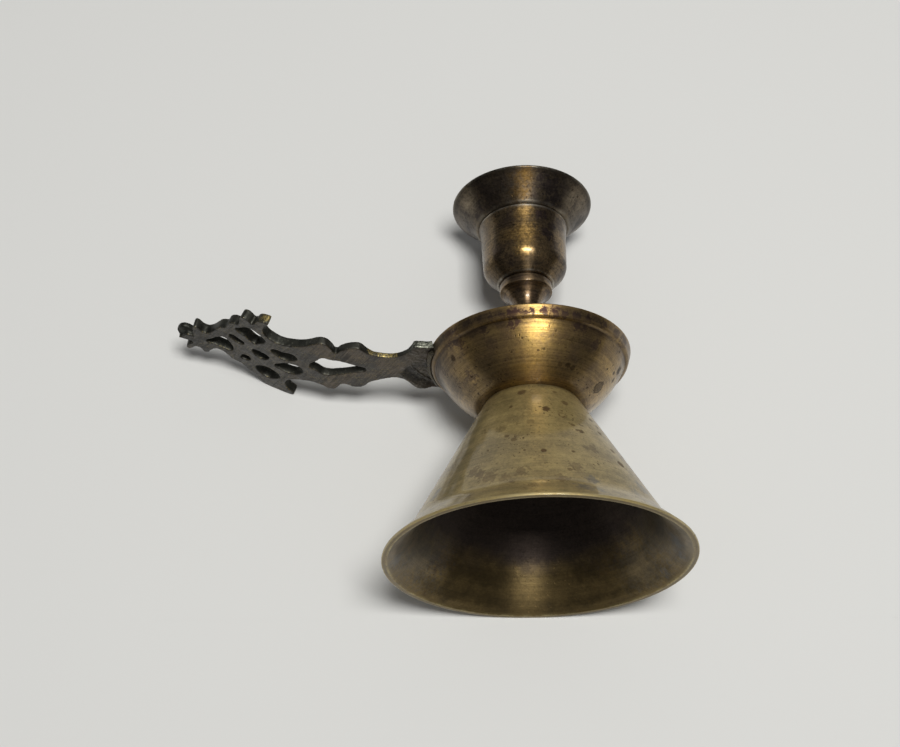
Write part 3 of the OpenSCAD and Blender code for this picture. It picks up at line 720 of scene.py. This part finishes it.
HANDLE_HOLES = [
    # long leaf in the neck's lobes
    [(66.3, 0), (63.2, -3.6), (61.3, -5.3), (59.0, -4.5), (56.2, -3.9), (52.4, -1.6), (48.9, 1.1), (52.6, 2.5),
     (57.6, 3.8), (62.1, 4.5), (64.3, 2.5)],
    # pierced head, from the near side to the far side
    [(86.6, -11.8), (84.8, -13.3), (81.9, -15.0), (80.0, -13.9), (78.1, -11.3), (77.9, -9.1), (80.6, -6.8),
     (82.1, -5.8), (84.0, -8.4)],
    [(77.2, -4.9), (75.2, -6.2), (73.2, -5.6), (70.7, -5.5), (69.3, -3.4), (70.2, -1.9), (73.5, -0.9), (75.7, -2.4)],
    [(89.9, -6.8), (88.3, -7.5), (86.8, -5.9), (85.5, -4.0), (87.1, -2.9), (89.2, -4.8)],
    [(83.8, -0.5), (83.0, -2.1), (80.5, -1.8), (78.7, 0.2), (80.8, 2.6), (83.1, 1.8)],
    [(77.8, 4.1), (75.6, 2.1), (73.4, 1.0), (69.9, 1.4), (69.0, 4.4), (71.3, 6.7), (74.1, 7.0), (76.4, 5.8)],
    [(88.8, 5.2), (86.7, 3.5), (85.7, 5.8), (88.2, 6.7)],
    [(85.0, 9.7), (83.6, 8.1), (81.4, 7.2), (79.6, 7.7), (77.5, 11.0), (79.6, 13.6), (82.3, 14.3), (84.4, 12.6)],
    [(98.4, -0.3), (96.0, -2.4), (93.4, -4.3), (91.5, -4.2), (90.3, -1.0), (90.8, 2.7), (92.9, 2.6), (95.6, 1.1)]
]


def along_plate(d):
    """Length along the plate's underside, from the start of its bend, at a distance from the axis."""
    if d <= BEND_D:
        return (d - BEND_D) / math.cos(NECK_RISE)
    if d <= STEEP_D:
        return BEND_UP_R * (math.asin((d - UP_CENTRE[0]) / BEND_UP_R) - NECK_RISE)
    return UP_LENGTH + BEND_DOWN_R * (STEEP_RISE - math.asin((DOWN_CENTRE[0] - d) / BEND_DOWN_R))


def bend_plate(s, h):
    """The distance from the axis and the height of points at a length s and a height h above the underside."""
    rise = np.where(s < 0, NECK_RISE, NECK_RISE + s / BEND_UP_R)
    rise = np.where(s > UP_LENGTH, STEEP_RISE - (s - UP_LENGTH) / BEND_DOWN_R, rise)
    neck_d = BEND_D + s * math.cos(NECK_RISE) - h * math.sin(NECK_RISE)
    neck_z = BEND_Z + s * math.sin(NECK_RISE) + h * math.cos(NECK_RISE)
    up_d = UP_CENTRE[0] + (BEND_UP_R - h) * np.sin(rise)
    up_z = UP_CENTRE[1] - (BEND_UP_R - h) * np.cos(rise)
    down_d = DOWN_CENTRE[0] - (BEND_DOWN_R + h) * np.sin(rise)
    down_z = DOWN_CENTRE[1] + (BEND_DOWN_R + h) * np.cos(rise)
    d = np.where(s < 0, neck_d, np.where(s <= UP_LENGTH, up_d, down_d))
    z = np.where(s < 0, neck_z, np.where(s <= UP_LENGTH, up_z, down_z))
    return d, z


def smooth_loop(points, parts=4):
    """A closed curve through the points, rounder between them than straight lines."""
    pts = [Vector(p) for p in points]
    result = []
    for i in range(len(pts)):
        a, b, c, d = (pts[(i + k) % len(pts)] for k in (-1, 0, 1, 2))
        reach = 0.4 * (c - b).length
        out_b = b + (c - a).normalized() * reach
        into_c = c - (d - b).normalized() * reach
        for k in range(parts):
            t = k / parts
            result.append(b * (1 - t) ** 3 + out_b * 3 * t * (1 - t) ** 2 + into_c * 3 * t * t * (1 - t) + c * t ** 3)
    return result


def make_slab():
    """The handle's pierced plate laid out flat, in millimetres, remeshed so that its edges can be rounded."""
    graph = bmesh.new()
    for loop in [NEAR_EDGE + FAR_EDGE[::-1]] + HANDLE_HOLES:
        flat = smooth_loop([(along_plate(d), w) for d, w in loop])
        verts = [graph.verts.new((p.x, p.y, 0)) for p in flat]
        for i, vert in enumerate(verts):
            graph.edges.new((vert, verts[(i + 1) % len(verts)]))
    bmesh.ops.triangle_fill(graph, edges=graph.edges[:], use_beauty=True)
    lifted = bmesh.ops.extrude_face_region(graph, geom=graph.faces[:])["geom"]
    bmesh.ops.translate(graph, vec=(0, 0, HANDLE_T), verts=[v for v in lifted if isinstance(v, bmesh.types.BMVert)])
    bmesh.ops.recalc_face_normals(graph, faces=graph.faces)
    mesh = bpy.data.meshes.new("slab")
    graph.to_mesh(mesh)
    graph.free()
    slab = bpy.data.objects.new("slab", mesh)
    bpy.context.scene.collection.objects.link(slab)
    remesh = slab.modifiers.new("remesh", "REMESH")
    remesh.mode = "VOXEL"
    remesh.voxel_size = 0.26
    relax = slab.modifiers.new("relax", "SMOOTH")
    relax.factor = 0.5
    relax.iterations = 4
    done = slab.evaluated_get(bpy.context.evaluated_depsgraph_get()).to_mesh()
    verts = np.zeros(len(done.vertices) * 3)
    done.vertices.foreach_get("co", verts)
    faces = [tuple(p.vertices) for p in done.polygons]
    slab.to_mesh_clear()
    bpy.data.objects.remove(slab)
    return verts.reshape(-1, 3), faces


def roughness_at(points, scale, seed):
    """Noise from -1 to 1 at each point."""
    shift = Vector((seed * 17.3, seed * 9.1, seed * 5.7))
    return np.array([noise.fractal(Vector(p) * scale + shift, 0.6, 2.0, 3) for p in points])


def make_handle():
    verts, faces = make_slab()
    s, w, h = verts.T
    # How far each point is from the plate's two faces tells the faces from the walls
    depth = np.minimum(h, HANDLE_T - h)
    face = np.clip(1 - depth / 0.22, 0, 1)
    lumps = roughness_at(verts, 0.35, 1)
    pits = roughness_at(verts, 1.3, 2)
    # Cast walls are rougher than the filed faces
    h = h + 0.05 * lumps * face + 0.012 * pits
    w = w + (1 - face) * (0.08 * lumps + 0.03 * pits)
    s = s + (1 - face) * 0.05 * roughness_at(verts, 0.9, 3)
    # The plate is thickest at its head, and its edges are worn thin along the neck
    h = h * (1 + (HEAD_T / HANDLE_T - 1) * np.clip(s / UP_LENGTH, 0, 1))
    neck = np.clip((s + 21) / 1.5, 0, 1) * np.clip((-6 - s) / 3, 0, 1)
    h = h * (1 - 0.36 * neck * np.clip((np.abs(w) - 3) / 2, 0, 1))
    # The near lobe of the tip is undercut
    under = np.clip(0.5 + (0.45 - h / HEAD_T) / 0.15, 0, 1) * np.clip(s - along_plate(101.8), 0, 1)
    under = under * np.clip((-0.8 - w) / 2.5, 0, 1)
    w = w + 1.9 * under
    s = s - 1.1 * under
    d, z = bend_plate(s, h)
    # On the tab's underside a curved ridge stands above a leaf-shaped hollow, among small dents
    x, y = -d, w
    low = np.clip(1 - np.abs(h) / 0.7, 0, 1)
    across = ((x + 35.3) * 10.6 - (y + 0.6) * 7.6) / math.hypot(10.6, 7.6)
    along = ((x + 35.3) * 7.6 + (y + 0.6) * 10.6) / math.hypot(10.6, 7.6)
    across = across - 0.022 * (along - 6) ** 2 + 0.6
    inside = np.clip((along + 1) / 2, 0, 1) * np.clip((14 - along) / 2, 0, 1)
    ridge = np.exp(-(across / 0.4) ** 2)
    hollow = np.clip(-across / 0.5, 0, 1) * np.clip((across + 5.5) / 3, 0, 1) * inside
    dents = np.clip((x + 37) / 2, 0, 1) * low * roughness_at(verts, 0.75, 5)
    z = z + low * (0.9 * hollow - 0.3 * ridge * inside) + 0.12 * dents
    tab = low * np.clip((x + 38) / 5, 0, 1)
    # The tab's end hugs the pan's band
    r = np.hypot(x, y)
    band = BAND_R + BAND_SLOPE * (z - BAND_Z) - 0.02
    push = np.where(r < band, band / r, 1)
    top = np.clip((d - 26) / 10, 0, 1)
    wear = np.exp(-((depth - 0.12) / 0.14) ** 2) * np.clip(0.5 + lumps, 0, 1) * top
    # The hollow weight carries painted shade into the leaf-shaped hollow under the tab
    return mesh_object("handle_casting", np.column_stack([x * push, y * push, z]), faces,
                       {"face": face, "wear": wear, "tab": tab, "hollow": low * hollow})


def make_braze():
    """The bead of solder under the tab: a fillet against the band, lumpy along its length."""
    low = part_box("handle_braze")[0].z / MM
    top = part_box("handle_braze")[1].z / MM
    spread = 42
    rows, sides = 90, 14
    verts = []
    for i in range(rows + 1):
        t = i / rows
        turn = math.radians(180 + spread * (t - 0.5))
        bulge = noise.noise(Vector((t * 9, 3.1, 0))) * 0.35 + noise.noise(Vector((t * 31, 7.7, 0))) * 0.15
        full = min(1, 12 * t, 12 * (1 - t)) ** 0.5 * (1 + bulge)
        for k in range(sides):
            a = 2 * math.pi * k / sides
            z = top - 0.7 + 0.7 * math.sin(a)
            reach = (0.7 + 0.7 * math.cos(a)) * full * (0.45 + 0.55 * (z - low) / 1.4)
            r = BAND_R + BAND_SLOPE * (z - BAND_Z) - 0.05 + reach
            verts.append((r * math.cos(turn), r * math.sin(turn), z))
    faces = [(i * sides + k, i * sides + (k + 1) % sides, (i + 1) * sides + (k + 1) % sides, (i + 1) * sides + k)
             for i in range(rows) for k in range(sides)]
    faces += [tuple(range(sides)), tuple(rows * sides + k for k in range(sides))]
    return mesh_object("braze_bead", verts, faces)


# Marks seen on the turned pieces: azimuth, height, radius, strength

CONE_SPOTS = [
    (-8.3, 44.9, 1.3, 0.9), (2.9, 45, 1.1, -0.3), (12.1, 37, 1.3, 1), (-3.3, 34.8, 1.2, -0.3), (31.4, 40.7, 1.2, 0.8),
    (26, 45.2, 0.8, 0.6), (23.8, 34.7, 1.4, -0.4), (-16.6, 39, 0.6, 0.8), (-0.2, 31.3, 1.3, 0.4), (-10.1, 24.4, 1, 0.7),
    (-15, 26.4, 0.8, 0.7), (5.8, 19.1, 0.8, 1), (21.1, 19.3, 0.6, 0.9), (28.8, 31, 0.8, 0.8), (32.9, 28.7, 1, 0.9),
    (53.7, 36.5, 1, 0.8), (52.4, 31.3, 0.9, 0.8), (52.9, 24.4, 1, 0.8), (51.5, 19.2, 1.4, 0.9), (56.2, 34.4, 0.8, 0.8),
    (29.9, 28.9, 0.6, 0.8),
    (16.4, 11.8, 0.8, 0.7), (150, 33, 1.2, 0.9), (-140, 22, 1.4, 0.8), (110, 14, 1.1, 0.8), (-95, 36, 1, 0.8)
]
CONE_PATCHES = [
    (-28.6, 14.9, 2, 0.6), (-19.2, 10.7, 2.4, 0.6), (-24.4, 13, 1.6, 0.7), (-5.3, 11.4, 2, 0.6), (12.3, 7.8, 2, 0.6),
    (0.2, 4.5, 1.8, 0.5), (-12, 9.5, 1.6, 0.5), (20, 13, 2, 0.5), (-8, 26, 1.2, 0.5), (-20, 30, 1.6, 0.4), (34, 22, 2, 0.5)
]
# Painted reflection: a dark band down the cone's left where it would mirror the table's shadow, and three broad soft
# darkenings
CONE_PAINTED_REFLECTION = [(-39, 9.5, 3.4, 0.7), (-40, 14, 3.4, 0.8), (-40, 19, 3.4, 0.8), (-41, 24, 3.2, 0.8), (-43, 29, 3, 0.8),
               (-44, 33.5, 2.8, 0.8), (-46, 38, 2.6, 0.8), (-47, 42, 2.4, 0.7), (38, 14, 8, 0.3), (30, 36, 6, 0.3),
               (-22, 42, 6, 0.3)]
CONE_GREYS = [(19.4, 3.8, 2.8, 0.9), (25.5, 8.8, 1.8, 0.8), (25, 2.6, 2.2, 0.7), (-51.3, 12.3, 2, 0.8),
              (58, 12, 2.6, 0.7), (47, 8, 2.2, 0.6)]
LINING_SPOTS = [
    (110.7, 15.1, 0.9, 0.9), (129.1, 9, 1.1, 1), (128, 8.3, 0.8, 0.9), (146.7, 7.4, 1.5, 0.7), (149.6, 7.4, 1.1, 0.8),
    (157.6, 9.2, 1.6, 0.6), (155.6, 4.4, 0.9, 0.9), (159.7, 6.8, 0.9, 0.6), (136.4, 1.3, 0.9, 1), (132, 0.7, 1.2, 1),
    (132.7, 3.2, 0.6, 0.8), (-120.5, 6.3, 1, 0.9), (-122.2, 7.5, 0.8, 0.9), (-126.9, 7.6, 0.7, 0.8),
    (-131.6, 8.8, 0.8, 0.8), (-137.1, 8.6, 0.8, 0.8), (-150.8, 12.5, 1.5, -0.8), (-156.5, 12.4, 1, 0.5),
    (-107.2, 8.2, 1, 0.6), (-122.6, 1.6, 1, 0.8), (-161, 0.8, 1, 0.6)
]
LINING_GREYS = [(89.4, 3.7, 3, 1), (98.5, 0.9, 2.5, 0.9), (-87.7, 0.7, 3.5, 0.9), (117.1, 1.2, 2.4, 0.7),
                (100, 10, 12, 0.5), (128, 6, 9, 0.3), (-104, 8, 12, 0.5)]
# Painted shade inside the bell: marks where it reaches further towards the rim
LINING_PAINTED_SHADE = [(150, 13.5, 7, 0.65), (130, 14.5, 7, 0.6), (165, 16, 5, 0.5), (112, 15, 6, 0.4), (-120, 11, 6, 0.5),
                (-140, 13, 6, 0.5), (-158, 16, 5, 0.5), (-100, 12, 6, 0.4)]
PAN_SPOTS = [
    (11.7, 54.3, 0.5, 0.9), (7.6, 53.9, 0.4, 0.9), (32.6, 51.6, 0.9, 0.9), (37.2, 51.4, 0.8, 0.8), (25.7, 51.5, 0.8, 0.7),
    (77, 51.1, 1.5, 0.75), (77, 51.1, 2.1, -0.9), (86.6, 57.9, 1.5, 1), (88.2, 55.2, 0.9, 0.9), (80.9, 56, 0.7, 0.9),
    (-55.9, 57.9, 1, 0.9), (-3, 56.8, 0.4, 0.8), (140, 55, 1.6, 0.8), (-130, 58, 1.2, 0.8)
]
PAN_PATCHES = [
    (-6.6, 62.5, 2.2, 1), (0, 62.5, 1.3, 1), (3.7, 62.7, 1.1, 1), (11, 63.1, 1.3, 1), (16.4, 62.9, 1.8, 1),
    (21.5, 62.3, 1.4, 1), (29.4, 62.6, 1.6, 1), (-12.8, 62.4, 1.2, 0.9), (-19.2, 62.5, 1.5, 0.9), (36.5, 62.6, 1.6, 0.9),
    (-34.6, 62.9, 1.6, 0.8), (-25.9, 62.7, 1.2, 0.8), (47.7, 62.7, 1.6, 0.8), (-4.8, 60.7, 1.3, 0.9), (-8.3, 60.3, 1.2, 0.9),
    (31.1, 60.7, 1.3, 0.8), (36.5, 60.4, 1.3, 0.7), (-25.9, 60.8, 1.5, 0.7), (-45.3, 59.8, 1.6, 0.7), (48.2, 57.9, 1.5, 0.6),
    (-52.1, 52.3, 2.2, 0.6), (-74.2, 58, 1.6, 0.6), (70, 63, 2.4, 0.7), (60, 63, 1.8, 0.7), (-50, 63, 4, 0.8)
]
# Painted shade: the pan's sides and the band's left end darkened where they mirror the shadowed table, and broad soft
# darkening elsewhere
PAN_PAINTED_SHADE = [
    (-38, 52, 7, 0.7), (-60, 55, 8, 0.6), (-88, 58, 12, 0.65), (-60, 63, 7, 0.7), (-25, 50.5, 5, 0.5), (28, 50.5, 5, 0.5),
    (42, 55, 8, 0.5), (58, 52, 8, 0.5), (66, 60, 8, 0.4), (88, 62, 6, 0.45), (-75, 62.5, 9, 1), (-95, 60, 10, 1), (-58, 63.2, 4, 0.9), (-67, 64, 5, 1),
    (-75, 54, 8, 0.9), (-48, 50, 6, 0.6), (-54, 55, 6, 0.6), (-64, 51.5, 7, 0.8), (-66, 58.5, 7, 0.8),
    (-31, 53.5, 5, 0.5), (-27, 57.5, 4, 0.35), (-24, 63, 3.5, 0.6), (-15, 63, 2.5, 0.4), (-36, 63, 4, 0.7),
    (23, 63, 3, 0.4), (32, 63, 3.5, 0.5), (44, 63, 4, 0.5),
    (150, 56, 9, 0.5), (-150, 56, 9, 0.4)
]
CUP_PATCHES = [
    (27.3, 108.3, 2, 0.9), (35.8, 102, 2, 0.9), (44, 105.6, 1.6, 0.8), (18.4, 99.6, 1.2, 0.5), (-38, 97.6, 2.6, 0.5),
    (-19.7, 93.1, 2.4, 0.6), (-9.9, 90.7, 2, 0.6), (-19.7, 106.2, 2.4, 0.5), (50.5, 99.4, 2, 0.5), (60, 108, 3, 0.5)
]
# Worn-through gold on the cup, most of it on the highlight streak, where it paints the highlight as well
CUP_BARE_AND_HIGHLIGHT = [(3, 109, 3, 0.6), (1, 101.5, 4.2, 0.8), (0, 96, 3, 0.6), (-22, 101, 3, 0.3), (80, 100, 5, 0.4), (170, 103, 6, 0.4)]
# Painted shade on the cup's sides, which dims their reflection of the bright table
CUP_PAINTED_SHADE = [(-88, 100, 6, 0.6), (-85, 94, 5, 0.5), (-86, 107, 5, 0.5), (88, 100, 6, 0.6), (85, 94, 5, 0.5),
              (86, 107, 5, 0.5)]
# Worn-through gold on the flare, most of it on the highlight streak, where it paints the highlight as well
FLARE_BARE_AND_HIGHLIGHT = [(0, 114.2, 3.2, 0.9), (3, 117.3, 4, 1), (6, 120, 3.4, 0.9), (120, 116, 4, 0.5), (-140, 117, 4, 0.5)]
# Painted reflection: lighter tan patches on the flare's sides
FLARE_PAINTED_REFLECTION = [(-62, 116.5, 3.4, 0.7), (-52, 118.5, 2.6, 0.4), (60, 116, 3.6, 0.6), (80, 116.5, 3.6, 0.6), (47, 119, 2.4, 0.4)]
FLARE_PATCHES = [
    (31.1, 116, 3.2, 0.9), (19.3, 117.5, 1.8, 0.8), (42.7, 113.6, 2.6, 0.9), (48, 116.7, 2.4, 0.7), (-32.5, 113.9, 3.4, 0.6),
    (-18.5, 116.8, 2.6, 0.5), (30.8, 112.4, 1.6, 0.7), (71, 115.7, 2.2, 0.6), (16.7, 113.3, 1.2, 0.5),
    (-39.8, 117.3, 3, 0.6)
]


def lining_r(z):
    """Radius of the bell's inside at a height."""
    return min(cone_r(z) - 1.7, RIM_R - 2.2 - FLARE_SLOPE * (z - LAND))


def flare_r(z):
    """Radius of the flare's outside at a height."""
    return 14.6 + (z - MOUTH) * 0.88


def placed(marks, radius_at):
    return [(*on_surface(azimuth, radius_at(z), z), radius, strength) for azimuth, z, radius, strength in marks]


foot_finish = aged_brass("olive_brass", (0.37, 0.28, 0.112), (0.24, 0.18, 0.074), (0.12, 0.075, 0.028), 0.14,
                         spots=placed(CONE_SPOTS, cone_r) + placed(LINING_SPOTS, lining_r),
                         patches=placed(CONE_PATCHES, cone_r), shades=placed(CONE_PAINTED_REFLECTION, cone_r),
                         greys=placed(CONE_GREYS, cone_r) + placed(LINING_GREYS, lining_r),
                         inside_shade_marks=placed(LINING_PAINTED_SHADE, lining_r), dot=(0.075, 0.038, 0.012), worn=(0.5, 0.41, 0.2), shade=(0.15, 0.115, 0.04), metal=0.5,
                         shine=0.46, dull=0.54, lines=0.3, grain=0.5, pits=0.3, stretch=0.4, film=0.5, seed=1)
# The pan's gold marks lie on its front glow and paint the highlight as well as worn metal
pan_finish = aged_brass("golden_brass", (0.34, 0.225, 0.08), (0.2, 0.13, 0.06), (0.066, 0.035, 0.027), 0.06,
                        spots=placed(PAN_SPOTS, bowl_r), patches=placed(PAN_PATCHES, bowl_r),
                        shades=placed(PAN_PAINTED_SHADE, bowl_r), bare_and_highlight=placed([(6, 60, 5.5, 0.8), (3, 54, 4, 0.4)], bowl_r),
                        gold=(0.5, 0.315, 0.085), shade=(0.075, 0.056, 0.038), shine=0.31, dull=0.41, lines=0.55, grain=0.6, pits=0.6, stretch=0.6, seed=21)
stem_finish = aged_brass("stem_brown_brass", (0.26, 0.18, 0.095), (0.12, 0.078, 0.044), (0.05, 0.034, 0.03), 0.3,
                         shine=0.34, dull=0.42, seed=41)
cup_finish = aged_brass("brown_brass", (0.215, 0.145, 0.07), (0.115, 0.082, 0.047), (0.045, 0.03, 0.028), 0.2,
                        patches=placed(CUP_PATCHES, lambda z: 12.9), bare_and_highlight=placed(CUP_BARE_AND_HIGHLIGHT, lambda z: 12.9),
                        shades=placed(CUP_PAINTED_SHADE, lambda z: 12.9), shade=(0.1, 0.078, 0.055),
                        gold=(0.52, 0.32, 0.1), shine=0.24, dull=0.32, lines=0.7, grain=1.4, pits=1.0, film=0.2,
                        worn=(0.85, 0.8, 0.68), seed=61)
nozzle_finish = aged_brass("dark_brass", (0.11, 0.081, 0.049), (0.076, 0.06, 0.043), (0.036, 0.027, 0.025), 0.32,
                           patches=placed(FLARE_PATCHES, flare_r), bare_and_highlight=placed(FLARE_BARE_AND_HIGHLIGHT, flare_r),
                           shades=placed(FLARE_PAINTED_REFLECTION, flare_r), shade=(0.2, 0.163, 0.115),
                           gold=(0.115, 0.066, 0.018), shine=0.34, dull=0.44, lines=0.5, grain=1.1, pits=0.8, film=0.1, worn=(0.55, 0.5, 0.4),
                           seed=81)
steel_finish = old_steel("old_steel")

# Rubbed places on the handle; the one on the tab's wall is also a painted highlight
HANDLE_RUBS = [(-75, -20.8, 71.6, 2.3, 1), (-40.5, -6.2, 65.4, 2.2, 1), (-43, -6.6, 65.5, 2.4, 1),
               (-46, -7.8, 65.7, 1.6, 0.8), (-30.5, -12, 65.4, 3, 1)]

dress(make_foot(), "candlestick", "foot_brass", foot_finish, "foot")
dress(make_pan(), "candlestick", "pan_brass", pan_finish, "drip_pan")
dress(make_stem(), "candlestick", "stem_brass", stem_finish, "stem")
dress(make_cup(), "candlestick", "cup_brass", cup_finish, "candle_cup")
dress(make_nozzle(), "nozzle", "nozzle_brass", nozzle_finish, "nozzle")
dress(make_handle(), "candlestick", "handle_brass", cast_brass("filed_casting", HANDLE_RUBS), "handle")
dress(make_braze(), "candlestick", "hard_solder", solder("braze_alloy"), "handle_braze")
dress(rod("threaded_stud", STUD_R, STUD_END, STUD_TIP, 1.0), "candlestick", "steel", steel_finish, "tie_stud")
dress(rod("threaded_cup_stud", CUP_STUD_R, CUP_STUD_END, CUP_STUD_TIP, 0.7), "candlestick", "steel", steel_finish,
      "cup_stud")
dress(make_washer(), "candlestick", "steel", steel_finish, "stud_washer")
dress(make_nut(), "candlestick", "steel", steel_finish, "stud_nut")


# Stage: the table that the candlestick lies on, and a floor for the views from above

def plane(name, centre, right, up, half):
    verts = [centre + right * (a * half) + up * (b * half) for a, b in ((-1, -1), (1, -1), (1, 1), (-1, 1))]
    mesh = bpy.data.meshes.new(name)
    mesh.from_pydata([v * MM for v in verts], [], [(0, 1, 2, 3)])
    made = bpy.data.objects.new(name, mesh)
    bpy.context.scene.collection.objects.link(made)
    return made


def stage_surface(name, colour, glow):
    """A pale matt surface that is seen from its front only. glow is the share of its tone that no shadow takes."""
    material = bpy.data.materials.new(name)
    material.use_nodes = True
    nodes, links = material.node_tree.nodes, material.node_tree.links
    nodes.clear()
    geometry = nodes.new("ShaderNodeNewGeometry")
    matt = nodes.new("ShaderNodeBsdfDiffuse")
    matt.inputs["Color"].default_value = (*[c * (1 - glow) for c in colour], 1)
    light = nodes.new("ShaderNodeEmission")
    light.inputs["Color"].default_value = (*colour, 1)
    light.inputs["Strength"].default_value = glow
    both = nodes.new("ShaderNodeAddShader")
    clear = nodes.new("ShaderNodeBsdfTransparent")
    choose = nodes.new("ShaderNodeMixShader")
    out = nodes.new("ShaderNodeOutputMaterial")
    links.new(matt.outputs[0], both.inputs[0])
    links.new(light.outputs[0], both.inputs[1])
    links.new(geometry.outputs["Backfacing"], choose.inputs[0])
    links.new(both.outputs[0], choose.inputs[1])
    links.new(clear.outputs[0], choose.inputs[2])
    links.new(choose.outputs[0], out.inputs["Surface"])
    return material


PALE = (0.665, 0.665, 0.65)
table_centre = MIDDLE - TABLE_UP * (MIDDLE.dot(TABLE_UP) + TABLE_DEPTH)
table = plane("table", table_centre, TABLE_RIGHT, TABLE_TOP, 2500)
table.data.materials.append(stage_surface("table_top", PALE, 0.0))
table.visible_shadow = False
floor = plane("floor", Vector((0, 0, -0.2)), Vector((1, 0, 0)), Vector((0, 1, 0)), 20000)
floor.data.materials.append(stage_surface("floor_top", PALE, 0.6))
floor.visible_shadow = False
floor.visible_glossy = False
floor.visible_diffuse = False


# Light

def lamp(name, place, size, radiance, colour=(1, 0.995, 0.975)):
    """A soft rectangular lamp that faces the table. place is in metres over the candlestick, along the table's right,
    top and up, size along its right and top, and radiance how bright it is where it is seen."""
    light = bpy.data.lights.new(name, "AREA")
    light.shape = "RECTANGLE"
    light.size, light.size_y = size
    light.energy = radiance * math.pi * size[0] * size[1]
    light.color = colour
    made = bpy.data.objects.new(name, light)
    bpy.context.scene.collection.objects.link(made)
    right, top, up = place
    away = TABLE_UP if up > 0 else -TABLE_UP
    side = TABLE_RIGHT
    made.matrix_world = Matrix((side, away.cross(side), away)).transposed().to_4x4()
    made.location = MIDDLE * MM + TABLE_RIGHT * right + TABLE_TOP * top + TABLE_UP * up
    return made


# One lamp nearly overhead, as the shadow in the photograph shows
lamp("overhead", (0.11, -0.05, 1.3), (0.45, 0.32), 35)
lamp("behind", (-0.3, 0.3, -0.9), (0.9, 0.9), 0.5)

world = bpy.data.worlds.new("studio")
bpy.context.scene.world = world
world.use_nodes = True
nodes, links = world.node_tree.nodes, world.node_tree.links
nodes.clear()
path = nodes.new("ShaderNodeLightPath")
seen = nodes.new("ShaderNodeBackground")
seen.inputs["Color"].default_value = (*PALE, 1)
direction = nodes.new("ShaderNodeTexCoord")
height = nodes.new("ShaderNodeVectorMath")
height.operation = "DOT_PRODUCT"
height.inputs[1].default_value = TABLE_UP
tone = nodes.new("ShaderNodeMapRange")
tone.interpolation_type = "SMOOTHSTEP"
for key, value in {"From Min": -0.1, "From Max": 0.9, "To Min": 0.07, "To Max": 0.26}.items():
    tone.inputs[key].default_value = value
room = nodes.new("ShaderNodeBackground")
choose = nodes.new("ShaderNodeMixShader")
out = nodes.new("ShaderNodeOutputWorld")
links.new(direction.outputs["Generated"], height.inputs[0])
links.new(height.outputs["Value"], tone.inputs["Value"])
links.new(tone.outputs[0], room.inputs["Strength"])
links.new(path.outputs["Is Camera Ray"], choose.inputs[0])
links.new(room.outputs[0], choose.inputs[1])
links.new(seen.outputs[0], choose.inputs[2])
links.new(choose.outputs[0], out.inputs["Surface"])

# Camera

camera = bpy.data.cameras.new("camera")
camera.lens = LENS
camera.sensor_width = 36
camera.clip_start = 0.01
viewer = bpy.data.objects.new("camera", camera)
bpy.context.scene.collection.objects.link(viewer)
viewer.matrix_world = Matrix((VIEW_RIGHT, VIEW_UP, -VIEW_FORWARD)).transposed().to_4x4()
viewer.location = CAMERA_AT * MM
bpy.context.scene.camera = viewer
bpy.context.scene.view_settings.view_transform = "Standard"
